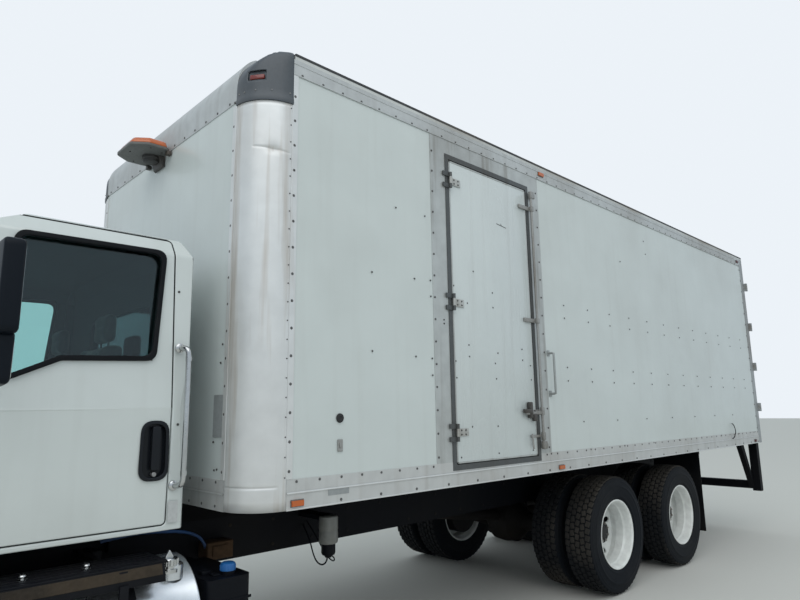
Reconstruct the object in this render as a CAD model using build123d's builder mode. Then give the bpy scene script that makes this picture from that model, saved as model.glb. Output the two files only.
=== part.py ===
"""White mechanics truck: a bonneted day cab on a 6x4 chassis, with a long dry-freight box body.

X points forward, Y to the driver's left and Z up. The origin lies on the floor under the middle
of the overall length, and all sizes are millimetres.
"""

import os
from math import cos, pi, radians, sin

from build123d import *

os.makedirs("parts", exist_ok=True)

# Sizes of the box body
body_length = 7795       # front face to rear face
body_width = 2590
body_bottom = 1134       # underside of the side rails
rail_height = 156        # bottom side rail
body_edge = 3686         # side edge of the roof
roof_crown = 46
corner_radius = 230      # front corner posts
wall = 30
top_rail = 129           # height of the roof's side rail
rail_lip = 4             # how far rails and frames stand proud of the panels
cap_bottom = 3370        # lower edge of the moulded corner caps
front_band = 3393        # lower edge of the front top rail
floor_height = 1250      # top of the load floor
floor_thick = 38
cross_sill_step = 405

# Side door in the left wall
side_door_width = 1020   # outside of its frame
side_door_front = 1287   # behind the edge of the corner post
side_door_bottom = 1236
side_door_top = 3447
side_frame = 36
side_leaf = 42
side_leaf_gap = 6
side_hinges = (3250, 2364, 1480)

# Rear doors
rear_post = 60
rear_frame_depth = 110
rear_leaf = 45
rear_leaf_gap = 6
rear_sill_top = 1262
rear_header = 3530
rear_hinges = (3266, 2700, 2150, 1603)
hinge_reach = 35         # hinge hardware behind the rear face
hinge_stand = 25         # pin outside the side plane and behind the rear face
knuckle_radius = 10
pin_radius = 7

# Chassis
cab_gap = 170            # cab back to body front
nose_to_body = 2970      # bumper face to body front
front_overhang = 1030    # bumper face to front axle
wheelbase = 6463         # front axle to the middle of the tandem
tandem_spread = 1401
frame_out = 432          # outer faces of the frame rails
frame_depth = 255
frame_top = 1000
frame_flange = 76
frame_web = 8

# Wheels
tyre_radius = 505
tyre_width = 279
rim_flange = 298
bead_radius = 286
well_radius = 262
front_track = 1030       # wheel centre from the middle
steer_dish = 140         # a front rim's bolting face outside the tyre's middle
kingpin_y = 900
dual_out = 1085
dual_in = 742
drum_radius = 210
spindle_radius = 38
bearing_gap = 0.3
hand_holes = 5
hand_hole_circle = 236
hand_hole_radius = 24

# Cab
cab_width = 2040
cab_length = 1385
cab_floor = 1075
cab_roof = 2612
cab_wall = 45
roof_half = 915          # half width of the roof where it turns down
belt_height = 1663
door_gap = 6
door_rear = 105          # cab back to the door's rear seam
door_length = 1005
door_bottom = 1105
door_top = 2545
glass_inset = 16
seat_gap = 0.3           # round glass and lamps in their openings
glass_thick = 5

# Hood
hood_wall = 14
hood_pivot_back = 100    # behind the bumper face
hood_pivot_z = 700
fender_half = 1172
arch_radius = 600
hood_gap = 15

# Fuel tank
tank_radius = 305
tank_y = 800
tank_z = 615
tank_length = 1120

# Places worked out from the sizes
overall_length = nose_to_body + body_length + hinge_reach
nose = overall_length / 2
body_front = nose - nose_to_body
body_rear = body_front - body_length
half = body_width / 2
panel_front = body_front - corner_radius
panel_bottom = body_bottom + rail_height
panel_top = body_edge - top_rail
panel_rear = body_rear + rear_frame_depth
front_axle_x = nose - front_overhang
tandem_x = front_axle_x - wheelbase
axle_x = (tandem_x + tandem_spread / 2, tandem_x - tandem_spread / 2)
axle_z = tyre_radius
frame_bottom = frame_top - frame_depth
cab_back = body_front + cab_gap
cab_front = cab_back + cab_length
door_back = cab_back + door_rear
door_front = door_back + door_length
hood_pivot_x = nose - hood_pivot_back
SIDES = (("left", 1), ("right", -1))


def save(piece, name):
    piece.part.label = name
    export_step(piece.part, f"parts/{name}.step")


def block(x0, x1, y0, y1, z0, z1, mode=Mode.ADD):
    with Locations(((x0 + x1) / 2, (y0 + y1) / 2, (z0 + z1) / 2)):
        Box(abs(x1 - x0), abs(y1 - y0), abs(z1 - z0), mode=mode)


def side_plane(y):
    return Plane.XZ.offset(-y)


def rod(start, end, radius, mode=Mode.ADD):
    a, b = Vector(*start), Vector(*end)
    with Locations(Plane(origin=a, z_dir=(b - a)).location):
        Cylinder(radius, (b - a).length, align=(Align.CENTER, Align.CENTER, Align.MIN), mode=mode)


# Chassis frame: two channel rails and their cross members
cross_members = (nose - 2620, nose - 3600, nose - 4900, axle_x[0] + 380, tandem_x,
                 axle_x[1] - 380, body_rear + 700)
cross_depth = 70
tank_in = 570             # air tanks' centre line from the middle
with BuildPart() as chassis_frame:
    frame_front = nose - 200
    frame_rear = body_rear + 160
    for name, s in SIDES:
        with BuildSketch(Plane.YZ.offset(frame_rear)):
            with Locations((s * (frame_out - frame_flange / 2), frame_top - frame_depth / 2)):
                Rectangle(frame_flange, frame_depth)
            with Locations((s * (frame_out - frame_flange / 2 - frame_web), frame_top - frame_depth / 2)):
                Rectangle(frame_flange, frame_depth - 2 * frame_web, mode=Mode.SUBTRACT)
        extrude(amount=frame_front - frame_rear)
    for x in cross_members:
        for z in (frame_top - 40, frame_top - 40 - cross_depth):
            block(x - 45, x + 45, -frame_out + frame_web, frame_out - frame_web, z - 8, z)
        block(x - 4, x + 4, -frame_out + frame_web, frame_out - frame_web,
              frame_top - 40 - cross_depth, frame_top - 40)
    block(nose - 500, nose - 390, -frame_out + frame_web, frame_out - frame_web,
          frame_bottom + frame_web, frame_bottom + 48)
    # rubber cab mounts on brackets
    for name, s in SIDES:
        for x in (cab_back + 120, cab_front - 160):
            block(x - 60, x + 60, s * (frame_out - 20), s * (frame_out + 60), frame_top - 90, frame_top)
            with BuildSketch(Plane.XY.offset(frame_top)):
                with Locations((x, s * (frame_out + 15))):
                    Circle(40)
            extrude(amount=cab_floor - frame_top)
    # air tanks on the right rail, ahead of the drive wheels
    for x in (axle_x[0] + tyre_radius + 340, axle_x[0] + tyre_radius + 1040):
        rod((x - 320, -tank_in, frame_top - 150), (x + 320, -tank_in, frame_top - 150), 110)
        block(x - 30, x + 30, -frame_out, -tank_in, frame_top - 150, frame_top - 100)
save(chassis_frame, "chassis_frame")

# Front axle beam, dropped between the springs, with an eye for each kingpin
beam_drop = 95
eye_half = 45
spring_y = 394
spring_half = 38
spring_reach = 640
spring_seat = axle_z - beam_drop + 50
pin_r = 20
with BuildPart() as front_axle:
    with BuildSketch(Plane.YZ.offset(front_axle_x - 38)):
        with BuildLine():
            Polyline((0, axle_z - beam_drop + 50), (520, axle_z - beam_drop + 50), (700, axle_z + 30),
                     (kingpin_y, axle_z + 30), (kingpin_y, axle_z - 30), (720, axle_z - 30),
                     (560, axle_z - beam_drop - 50), (0, axle_z - beam_drop - 50), close=True)
        make_face()
        mirror(about=Plane.YZ)
    extrude(amount=76)
    for name, s in SIDES:
        with BuildSketch(Plane.XY.offset(axle_z - eye_half)):
            with Locations((front_axle_x, s * kingpin_y)):
                Circle(48)
        extrude(amount=2 * eye_half)
        with BuildSketch(Plane.XY.offset(axle_z - eye_half)):
            with Locations((front_axle_x, s * kingpin_y)):
                Circle(pin_r + 0.5)
        extrude(amount=2 * eye_half, mode=Mode.SUBTRACT)
    # leaf springs on the beam, each held by two hangers under the rail
    for name, s in SIDES:
        with BuildSketch(side_plane(s * spring_y)):
            with BuildLine():
                ThreePointArc((front_axle_x - spring_reach, spring_seat + 160), (front_axle_x, spring_seat),
                              (front_axle_x + spring_reach, spring_seat + 160))
                Line((front_axle_x + spring_reach, spring_seat + 160), (front_axle_x + spring_reach, spring_seat + 185))
                ThreePointArc((front_axle_x + spring_reach, spring_seat + 185), (front_axle_x, spring_seat + 48),
                              (front_axle_x - spring_reach, spring_seat + 185))
                Line((front_axle_x - spring_reach, spring_seat + 185), (front_axle_x - spring_reach, spring_seat + 160))
            make_face()
        extrude(amount=spring_half, both=True)
        for x in (front_axle_x - spring_reach + 10, front_axle_x + spring_reach - 10):
            block(x - 30, x + 30, s * spring_y - spring_half, s * spring_y + spring_half,
                  spring_seat + 150, frame_bottom)
        block(front_axle_x - 60, front_axle_x + 60, s * spring_y - spring_half, s * spring_y + spring_half,
              spring_seat, spring_seat + 70)
save(front_axle, "front_axle")

# Steering knuckles: a yoke round the beam's eye, the kingpin, a stub axle and a steering arm
arm_reach = 180
arm_z = axle_z - 80
link_z = arm_z - 38
link_pin = 10
for name, s in SIDES:
    y = s * kingpin_y
    with BuildPart() as knuckle:
        for z0, z1 in ((axle_z + eye_half + 1, axle_z + eye_half + 36),
                       (axle_z - eye_half - 36, axle_z - eye_half - 1)):
            with BuildSketch(Plane.XY.offset(z0)):
                with Locations((front_axle_x, y)):
                    Circle(42)
                with Locations((front_axle_x, y + s * 45)):
                    Rectangle(84, 90)
            extrude(amount=z1 - z0)
        block(front_axle_x - 42, front_axle_x + 42, y + s * 56, y + s * 90,
              axle_z - eye_half - 36, axle_z + eye_half + 36)
        with BuildSketch(Plane.XY.offset(axle_z - eye_half - 36)):
            with Locations((front_axle_x, y)):
                Circle(pin_r)
        extrude(amount=2 * eye_half + 72)
        rod((front_axle_x, y + s * 80, axle_z), (front_axle_x, y + s * 225, axle_z), spindle_radius)
        with BuildSketch(Plane.XY.offset(arm_z - 14)):
            with Locations((front_axle_x - arm_reach / 2, y)):
                Rectangle(arm_reach, 36)
            with Locations((front_axle_x - arm_reach, y)):
                Circle(24)
        extrude(amount=28)
        rod((front_axle_x - arm_reach, y, arm_z), (front_axle_x - arm_reach, y, link_z - 26), link_pin)
    save(knuckle, f"knuckle_{name}")

# Tie rod between the two arms: the left eye is its pivot, the right eye has clearance
with BuildPart() as tie_rod:
    rod((front_axle_x - arm_reach, kingpin_y - 20, link_z),
        (front_axle_x - arm_reach, -kingpin_y + 20, link_z), 16)
    for s, bore in ((1, link_pin + 0.4), (-1, link_pin + 5)):
        with BuildSketch(Plane.XY.offset(link_z - 20)):
            with Locations((front_axle_x - arm_reach, s * kingpin_y)):
                Circle(26)
        extrude(amount=40)
        with BuildSketch(Plane.XY.offset(link_z - 20)):
            with Locations((front_axle_x - arm_reach, s * kingpin_y)):
                Circle(bore)
        extrude(amount=40, mode=Mode.SUBTRACT)
save(tie_rod, "tie_rod")


def tyre_outline(mid, radius):
    """Half section of one tyre in the plane of its axis: sidewalls, shoulders and tread band."""
    w = tyre_width / 2
    with BuildLine() as outline:
        Polyline((mid - w * 0.78, bead_radius), (mid - w * 0.80, bead_radius + 12))
        ThreePointArc((mid - w * 0.80, bead_radius + 12), (mid - w, (bead_radius + radius) / 2),
                      (mid - w * 0.86, radius - 22))
        Polyline((mid - w * 0.86, radius - 22), (mid - w * 0.76, radius - 5), (mid, radius),
                 (mid + w * 0.76, radius - 5), (mid + w * 0.86, radius - 22))
        ThreePointArc((mid + w * 0.86, radius - 22), (mid + w, (bead_radius + radius) / 2),
                      (mid + w * 0.80, bead_radius + 12))
        Polyline((mid + w * 0.80, bead_radius + 12), (mid + w * 0.78, bead_radius),
                 (mid - w * 0.78, bead_radius))
    return outline.edges()


def wheel_plane(x):
    """Sketch plane through a wheel's axis: its first axis is the axle, its second is up."""
    return Plane(origin=(x, 0, axle_z), x_dir=(0, 1, 0), z_dir=(1, 0, 0))


def wheel_axis(x):
    return Axis((x, 0, axle_z), (0, 1, 0))


def barrel_outline(mid):
    """Section of a rim's barrel, with its two flanges and the drop well between the bead seats."""
    w = tyre_width / 2 * 0.78
    with BuildLine() as outline:
        Polyline((mid - w - 12, rim_flange), (mid - w, bead_radius), (mid - w * 0.45, bead_radius),
                 (mid - w * 0.3, well_radius + 10), (mid + w * 0.3, well_radius + 10),
                 (mid + w * 0.45, bead_radius), (mid + w, bead_radius), (mid + w + 12, rim_flange),
                 (mid + w + 12, rim_flange - 10), (mid + w - 4, bead_radius - 12),
                 (mid + w * 0.5, bead_radius - 12), (mid + w * 0.32, well_radius),
                 (mid - w * 0.32, well_radius), (mid - w * 0.5, bead_radius - 12),
                 (mid - w + 4, bead_radius - 12), (mid - w - 12, rim_flange - 10), close=True)
    return outline.edges()


def cut_hand_holes(x, y0, y1):
    """Round holes through the cone of a wheel disc, between two planes across the axle."""
    for i in range(hand_holes):
        turn = 2 * pi * i / hand_holes
        px, pz = x + hand_hole_circle * sin(turn), axle_z + hand_hole_circle * cos(turn)
        rod((px, y0, pz), (px, y1, pz), hand_hole_radius, mode=Mode.SUBTRACT)


def disc_outline(face, way):
    """Section of a wheel disc from its bolting face: way is +1 or -1, towards the barrel."""
    with BuildLine() as outline:
        Polyline((face, 80), (face, 186), (face + way * 72, bead_radius - 8),
                 (face + way * 86, bead_radius - 8), (face + way * 12, 180), (face + way * 12, 80),
                 close=True)
    return outline.edges()


# Front wheels: tyre, dished steel rim and hub, turning on the stub axle
for name, s in SIDES:
    with BuildPart() as tyre:
        with BuildSketch(wheel_plane(front_axle_x)):
            make_face(tyre_outline(s * front_track, tyre_radius))
        revolve(axis=wheel_axis(front_axle_x))
    save(tyre, f"front_tyre_{name}")
    with BuildPart() as rim:
        with BuildSketch(wheel_plane(front_axle_x)):
            make_face(barrel_outline(s * front_track))
            make_face(disc_outline(s * (front_track + steer_dish), -s))
            with BuildLine():
                y0 = s * front_track
                Polyline((y0 - s * 28, spindle_radius + bearing_gap), (y0 - s * 28, 78), (y0 + s * 100, 84),
                         (y0 + s * 100, 142), (y0 + s * 128, 142), (y0 + s * 128, 86), (y0 + s * 168, 78),
                         (y0 + s * 168, 0), (y0 + s * 130, 0), (y0 + s * 130, spindle_radius + bearing_gap),
                         close=True)
            make_face()
        revolve(axis=wheel_axis(front_axle_x))
        cut_hand_holes(front_axle_x, s * (front_track + 75), s * (front_track + steer_dish + 10))
    save(rim, f"front_rim_{name}")

# Rear wheels: each side of each axle carries a pair of tyres on one hub with its brake drum
for place, x in (("mid", axle_x[0]), ("rear", axle_x[1])):
    for name, s in SIDES:
        with BuildPart() as tyres:
            with BuildSketch(wheel_plane(x)):
                make_face(tyre_outline(s * dual_out, tyre_radius))
                make_face(tyre_outline(s * dual_in, tyre_radius))
            revolve(axis=wheel_axis(x))
        save(tyres, f"{place}_tyres_{name}")
        with BuildPart() as rims:
            meet = (dual_out + dual_in) / 2
            with BuildSketch(wheel_plane(x)):
                for mid, way in ((dual_out, s), (dual_in, -s)):
                    make_face(barrel_outline(s * mid))
                    make_face(disc_outline(s * meet, way))
                with BuildLine():
                    y0 = s * meet
                    Polyline((y0 - s * 300, spindle_radius + 20), (y0 - s * 300, drum_radius),
                             (y0 - s * 60, drum_radius), (y0 - s * 14, 150), (y0 + s * 14, 150),
                             (y0 + s * 14, 92), (y0 + s * 150, 84), (y0 + s * 158, 60), (y0 + s * 158, 0),
                             (y0 + s * 60, 0), (y0 + s * 60, spindle_radius + bearing_gap),
                             (y0 - s * 180, spindle_radius + bearing_gap),
                             (y0 - s * 180, spindle_radius + 20), close=True)
                make_face()
            revolve(axis=wheel_axis(x))
            cut_hand_holes(x, s * meet - 95, s * meet + 95)
        save(rims, f"{place}_rims_{name}")

# Drive axles: tube, differential bowl, spindles and spring pads, with their springs and shafts
pack_y = 508
pack_half = 42
spring_pad = 92
shaft_z = 830
gearbox_back = nose - 2500


def driveline_part():
    """Shafts from the gearbox to both drive axles, with a centre bearing on its cross member."""
    with BuildPart() as driveline:
        mid_x = (gearbox_back + axle_x[0]) / 2
        rod((gearbox_back, 0, shaft_z), (mid_x, 0, shaft_z), 50)
        rod((mid_x, 0, shaft_z), (axle_x[0] + 190, 0, axle_z + 60), 50)
        block(mid_x - 40, mid_x + 40, -90, 90, shaft_z - 90, frame_top - 40)
        block(mid_x - 40, mid_x + 40, -frame_out + frame_web, frame_out - frame_web, frame_top - 48, frame_top - 40)
        rod((axle_x[0] - 190, 0, axle_z + 40), (axle_x[1] + 190, 0, axle_z + 40), 50)
    return driveline.part


with BuildPart() as drive_axles:
    for x in axle_x:
        with BuildSketch(wheel_plane(x)):
            with BuildLine():
                Polyline((0, 0), (0, 215), (110, 205), (230, 90), (dual_in - 160, 66),
                         (dual_in - 160, spindle_radius), (dual_in + 220, spindle_radius),
                         (dual_in + 220, 0), close=True)
            make_face()
            mirror(about=Plane.YZ)
        revolve(axis=wheel_axis(x))
        for name, s in SIDES:
            block(x - 50, x + 50, s * pack_y - pack_half, s * pack_y + pack_half, axle_z, axle_z + spring_pad)
    # inverted leaf packs on a trunnion, seated on both axles
    for name, s in SIDES:
        with BuildSketch(side_plane(s * pack_y)):
            with BuildLine():
                Polyline((axle_x[1] - 60, axle_z + spring_pad), (axle_x[1] + 60, axle_z + spring_pad),
                         (tandem_x - 90, axle_z + 120), (tandem_x + 90, axle_z + 120),
                         (axle_x[0] - 60, axle_z + spring_pad), (axle_x[0] + 60, axle_z + spring_pad),
                         (axle_x[0] + 60, axle_z + 112), (tandem_x + 120, axle_z + 230),
                         (tandem_x - 120, axle_z + 230), (axle_x[1] - 60, axle_z + 112), close=True)
            make_face()
        extrude(amount=pack_half, both=True)
        block(tandem_x - 110, tandem_x + 110, s * frame_out, s * (pack_y + pack_half), axle_z + 225, frame_top - 90)
        block(tandem_x - 70, tandem_x + 70, s * frame_out, s * (pack_y - pack_half), axle_z - 140, axle_z + 240)
    rod((tandem_x, -frame_out - 10, axle_z - 95), (tandem_x, frame_out + 10, axle_z - 95), 38)
    add(driveline_part())
save(drive_axles, "drive_axles")

# Engine as one plain block with the gearbox behind it
with BuildPart() as engine:
    block(nose - 1440, nose - 560, -300, 300, 640, 1400)
    block(gearbox_back, nose - 1440, -200, 200, 640, 1010)
    for name, s in SIDES:
        block(nose - 1150, nose - 1050, s * 300, s * (frame_out - frame_web), 880, 940)
    block(nose - 500, nose - 390, -340, 340, frame_bottom + 48, 1340)
save(engine, "engine_block")

# Front bumper: a bent channel on brackets
bumper_top = 686
bumper_bottom = 440
with BuildPart() as bumper:
    with BuildSketch(Plane.XY.offset(bumper_bottom)):
        with BuildLine():
            Polyline((nose - 420, 1190), (nose - 190, 1160), (nose - 20, 860), (nose, 0), (nose - 14, 0),
                     (nose - 34, 850), (nose - 200, 1146), (nose - 420, 1176), close=True)
        make_face()
        mirror(about=Plane.XZ)
    extrude(amount=bumper_top - bumper_bottom)
    for name, s in SIDES:
        block(nose - 330, nose - 10, s * 360, s * 372, bumper_bottom + 60, bumper_top - 30)
        block(hood_pivot_x - 16, hood_pivot_x + 16, s * 360, s * 372, bumper_top - 40, hood_pivot_z + 14)
        rod((hood_pivot_x, s * 366, hood_pivot_z), (hood_pivot_x, s * 404, hood_pivot_z), 8)
        block(nose - 330, nose - 202, s * 360, s * (frame_out), bumper_top - 130, bumper_top - 30)
        block(nose - 330, nose - 202, s * 360, s * 372, bumper_top - 30, frame_bottom)
save(bumper, "front_bumper")

# Cab form: three views cut from one block; inset gives the inner wall and the glass layers
cowl_x = cab_front + 5
cowl_z = 1690
shield_top = (cab_back + 960, 2478)
roof_front = cab_back + 700
cab_round = 60
rear_round = 25


def cab_form(inset):
    with BuildPart() as form:
        with BuildSketch(Plane.XZ) as side:
            with BuildLine():
                Polyline((cab_back, cab_floor), (cab_back, cab_roof - 150), (cab_back + 60, cab_roof - 30),
                         (cab_back + 260, cab_roof), (roof_front, cab_roof - 12), shield_top,
                         (cowl_x - 25, cowl_z), (cowl_x, cowl_z - 60), (cowl_x - 85, cab_floor), close=True)
            make_face()
            fillet([v for v in side.vertices() if v.Y > cab_roof - 160], cab_round)
            offset(amount=-inset, kind=Kind.INTERSECTION, mode=Mode.REPLACE)
        extrude(amount=cab_width, both=True)
        with BuildSketch(Plane.YZ.offset(cab_back - 50)) as front:
            with BuildLine():
                Polyline((0, cab_floor - 50), (cab_width / 2 - 14, cab_floor - 50), (cab_width / 2, belt_height),
                         (roof_half + 50, cab_roof - 150), (roof_half - 20, cab_roof - 52),
                         (roof_half - 160, cab_roof - 22), (0, cab_roof + 8))
                mirror(about=Plane.YZ)
            make_face()
            fillet([v for v in front.vertices() if v.Y > cab_roof - 160 and abs(v.X) > roof_half / 2], cab_round)
            offset(amount=-inset, kind=Kind.INTERSECTION, mode=Mode.REPLACE)
        extrude(amount=cab_length + 200, mode=Mode.INTERSECT)
        with BuildSketch(Plane.XY.offset(cab_floor - 60)) as plan:
            with BuildLine():
                h = cab_width / 2
                Polyline((cab_back, 0), (cab_back, h - 60), (cab_back + 18, h - 18), (cab_back + 60, h),
                         (cab_front - 260, h), (cab_front - 30, h - 130), (cowl_x + 60, 0))
                mirror(about=Plane.XZ)
            make_face()
            fillet([v for v in plan.vertices() if abs(v.Y) > h / 2 and v.X < cab_back + 40], rear_round)
            fillet([v for v in plan.vertices() if abs(v.Y) > h / 2 and v.X > cab_front - 400], cab_round)
            offset(amount=-inset, kind=Kind.INTERSECTION, mode=Mode.REPLACE)
        extrude(amount=cab_roof, mode=Mode.INTERSECT)
    return form.part


def door_edges(gap):
    """Door outline from the side, let out by a gap."""
    x0, x1, z0, z1 = door_back - gap, door_front + gap, door_bottom - gap, door_top + gap
    with BuildLine() as outline:
        FilletPolyline((x0, z0), (x1, z0), (x1, 1800), (x1 - 215, z1), (x0, z1), radius=20 + gap, close=True)
    return outline.edges()


def window_edges(gap):
    """Door window: its rear edge leans, and its lower edge drops towards the front."""
    with BuildLine() as outline:
        FilletPolyline((door_back + 50 + gap, 2465 - gap), (door_back + 95 + gap, 1898 + gap),
                       (door_back + 515, 1882 + gap), (door_back + 705, 1795 + gap),
                       (door_front - 96 - gap, 1795 + gap), (door_front - 285 - gap, 2455 - gap),
                       radius=window_round, close=True)
    return outline.edges()


window_round = 40
door_reach = 850         # doors are cut only outside this half width
cab_outer = cab_form(0)
cab_inner = cab_form(cab_wall)
glass_layer = cab_form(glass_inset) - cab_form(glass_inset + glass_thick)
hood_clear = cab_form(-hood_gap)

# Cab shell with its door openings, windshield and rear window cut
shield_half = 820
shield_low, shield_high = 1760, 2420
rear_pane = (520, 1760, 2260)      # half width, lower and upper edges
with BuildPart() as cab_shell:
    add(cab_outer)
    add(cab_inner, mode=Mode.SUBTRACT)
    for name, s in SIDES:
        with BuildSketch(side_plane(s * door_reach)):
            make_face(door_edges(door_gap))
        extrude(amount=-s * door_reach, mode=Mode.SUBTRACT)
    with BuildSketch(Plane.YZ.offset(cab_front - 520)):
        with BuildLine():
            Polyline((-shield_half, shield_low), (shield_half, shield_low), (shield_half - 90, shield_high),
                     (-shield_half + 90, shield_high), close=True)
        make_face()
    extrude(amount=600, mode=Mode.SUBTRACT)
    with BuildSketch(Plane.YZ.offset(cab_back - 20)):
        with Locations((0, (rear_pane[1] + rear_pane[2]) / 2)):
            RectangleRounded(2 * rear_pane[0], rear_pane[2] - rear_pane[1], 50)
    extrude(amount=100, mode=Mode.SUBTRACT)
save(cab_shell, "cab_shell")

# Fixed glass: windshield and rear window
with BuildPart() as cab_glass:
    with BuildSketch(Plane.YZ.offset(cab_front - 520)):
        with BuildLine():
            Polyline((-shield_half, shield_low), (shield_half, shield_low), (shield_half - 90, shield_high),
                     (-shield_half + 90, shield_high), close=True)
        make_face()
        offset(amount=-seat_gap, kind=Kind.INTERSECTION, mode=Mode.REPLACE)
    extrude(amount=600)
    with BuildSketch(Plane.YZ.offset(cab_back - 20)):
        with Locations((0, (rear_pane[1] + rear_pane[2]) / 2)):
            RectangleRounded(2 * (rear_pane[0] - seat_gap), rear_pane[2] - rear_pane[1] - 2 * seat_gap, 50)
    extrude(amount=100)
    add(glass_layer, mode=Mode.INTERSECT)
save(cab_glass, "cab_glass")

# Cab doors, each cut from the cab's own wall, with window, handle and the mirror's place
mirror_x = door_front - 200
handle_x, handle_z = door_back + 75, 1457
handle_wide, handle_high, handle_deep = 130, 272, 26
for name, s in SIDES:
    with BuildPart() as door:
        with BuildSketch(side_plane(s * door_reach)):
            make_face(door_edges(0))
        extrude(amount=-s * door_reach)
        add(cab_outer, mode=Mode.INTERSECT)
        add(cab_inner, mode=Mode.SUBTRACT)
        with BuildSketch(side_plane(s * door_reach)):
            make_face(window_edges(0))
        extrude(amount=-s * door_reach, mode=Mode.SUBTRACT)
        skin = cab_width / 2
        with BuildSketch(side_plane(s * (skin - handle_deep))):
            with Locations((handle_x, handle_z)):
                RectangleRounded(handle_wide, handle_high, handle_wide / 2 - 4)
        extrude(amount=-s * 2 * handle_deep, mode=Mode.SUBTRACT)
        block(handle_x - 24, handle_x + 10, s * (skin - handle_deep), s * (skin + 4),
              handle_z - handle_high / 2 + 46, handle_z + handle_high / 2 - 24)
    save(door, f"cab_door_{name}")
    with BuildPart() as pane:
        with BuildSketch(side_plane(s * door_reach)):
            make_face(window_edges(seat_gap))
        extrude(amount=-s * door_reach)
        add(glass_layer, mode=Mode.INTERSECT)
    save(pane, f"door_glass_{name}")
    with BuildPart() as mirror_set:
        for z in (1790, 2250):
            rod((mirror_x, s * 940, z), (mirror_x, s * 1290, z), 11)
        rod((mirror_x, s * 1280, 1765), (mirror_x, s * 1280, 2275), 15)
        block(mirror_x - 30, mirror_x + 60, s * 1240, s * 1450, 1945, 2320)
        block(mirror_x - 30, mirror_x + 60, s * 1250, s * 1440, 1740, 1945)
        add(cab_outer, mode=Mode.SUBTRACT)
    save(mirror_set, f"mirror_{name}")

# Hood with its fenders: the same way of three views; low and back open the inner form
hood_rear = door_front + hood_gap
hood_bottom = 640
nose_bottom = 735
shoulder = 1300
hood_round = 100
shoulder_round = 60


def hood_form(inset, low=0, back=0):
    tip = hood_pivot_x
    with BuildPart() as form:
        with BuildSketch(Plane.XZ) as side:
            with BuildLine():
                Polyline((hood_rear - back, hood_bottom - low), (hood_rear - back, shoulder - 10),
                         (cab_front, shoulder + 20), (cab_front - back / 2, cowl_z + 4), (tip - 600, 1615),
                         (tip - 170, 1480), (tip - 38, 1340), (tip - 4, 1100), (tip, nose_bottom - low),
                         (tip - 350, nose_bottom - low), (tip - 350, hood_bottom - low), close=True)
            make_face()
            fillet([v for v in side.vertices() if v.X > tip - 650 and v.Y > 1000], hood_round)
            offset(amount=-inset, kind=Kind.INTERSECTION, mode=Mode.REPLACE)
        extrude(amount=1400, both=True)
        with BuildSketch(Plane.YZ.offset(hood_rear - 500)) as front:
            with BuildLine():
                h = fender_half
                Polyline((0, 300), (h, 300), (h, shoulder - 110), (h - 26, shoulder - 40), (h - 90, shoulder - 6),
                         (930, shoulder + 20), (900, shoulder + 70), (835, 1620), (760, 1680), (0, 1740))
                mirror(about=Plane.YZ)
            make_face()
            fillet([v for v in front.vertices() if v.Y > 1000 and abs(v.X) > 100], shoulder_round)
            offset(amount=-inset, kind=Kind.INTERSECTION, mode=Mode.REPLACE)
        extrude(amount=3000, mode=Mode.INTERSECT)
        with BuildSketch(Plane.XY.offset(200)) as plan:
            with BuildLine():
                Polyline((hood_rear - 400, 0), (hood_rear - 400, h), (tip - 360, h), (tip - 150, h - 70),
                         (tip - 40, h - 230), (tip - 8, h - 560), (tip + 6, 0))
                mirror(about=Plane.XZ)
            make_face()
            fillet([v for v in plan.vertices() if v.X > tip - 400 and abs(v.Y) > 100], hood_round)
            offset(amount=-inset, kind=Kind.INTERSECTION, mode=Mode.REPLACE)
        extrude(amount=1700, mode=Mode.INTERSECT)
    return form.part


grille_half = 430
grille_low, grille_high = 800, 1290
lamp_in, lamp_out = 640, 1010
lamp_low, lamp_high = 880, 1075
hood_outer = hood_form(0)
with BuildPart() as hood:
    add(hood_outer)
    add(hood_form(hood_wall, low=150, back=300), mode=Mode.SUBTRACT)
    add(hood_clear, mode=Mode.SUBTRACT)
    block(hood_rear - 50, cab_front + hood_gap - 10, -cab_width / 2 - hood_gap, cab_width / 2 + hood_gap,
          0, 2000, mode=Mode.SUBTRACT)
    block(hood_rear - 50, cab_front + 60, -800, 800, 0, 1550, mode=Mode.SUBTRACT)
    block(hood_pivot_x - 150, hood_pivot_x + 50, -grille_half, grille_half, grille_low, grille_high,
          mode=Mode.SUBTRACT)
    for name, s in SIDES:
        block(hood_pivot_x - 260, hood_pivot_x + 50, s * lamp_in, s * lamp_out, lamp_low, lamp_high,
              mode=Mode.SUBTRACT)
        rod((front_axle_x, s * 620, axle_z), (front_axle_x, s * 1300, axle_z), arch_radius, mode=Mode.SUBTRACT)
        block(hood_pivot_x - 14, hood_pivot_x, s * 375, s * 401, hood_pivot_z, nose_bottom + 30)
        rod((hood_pivot_x, s * 375, hood_pivot_z), (hood_pivot_x, s * 401, hood_pivot_z), 16)
        rod((hood_pivot_x, s * 370, hood_pivot_z), (hood_pivot_x, s * 410, hood_pivot_z), 8.4,
            mode=Mode.SUBTRACT)
save(hood, "hood")

with BuildPart() as headlamps:
    for name, s in SIDES:
        block(hood_pivot_x - 260, hood_pivot_x + 50, s * (lamp_in + seat_gap), s * (lamp_out - seat_gap),
              lamp_low + seat_gap, lamp_high - seat_gap)
    add(hood_outer, mode=Mode.INTERSECT)
    add(hood_form(hood_wall + 30), mode=Mode.SUBTRACT)
save(headlamps, "headlamps")

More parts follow.
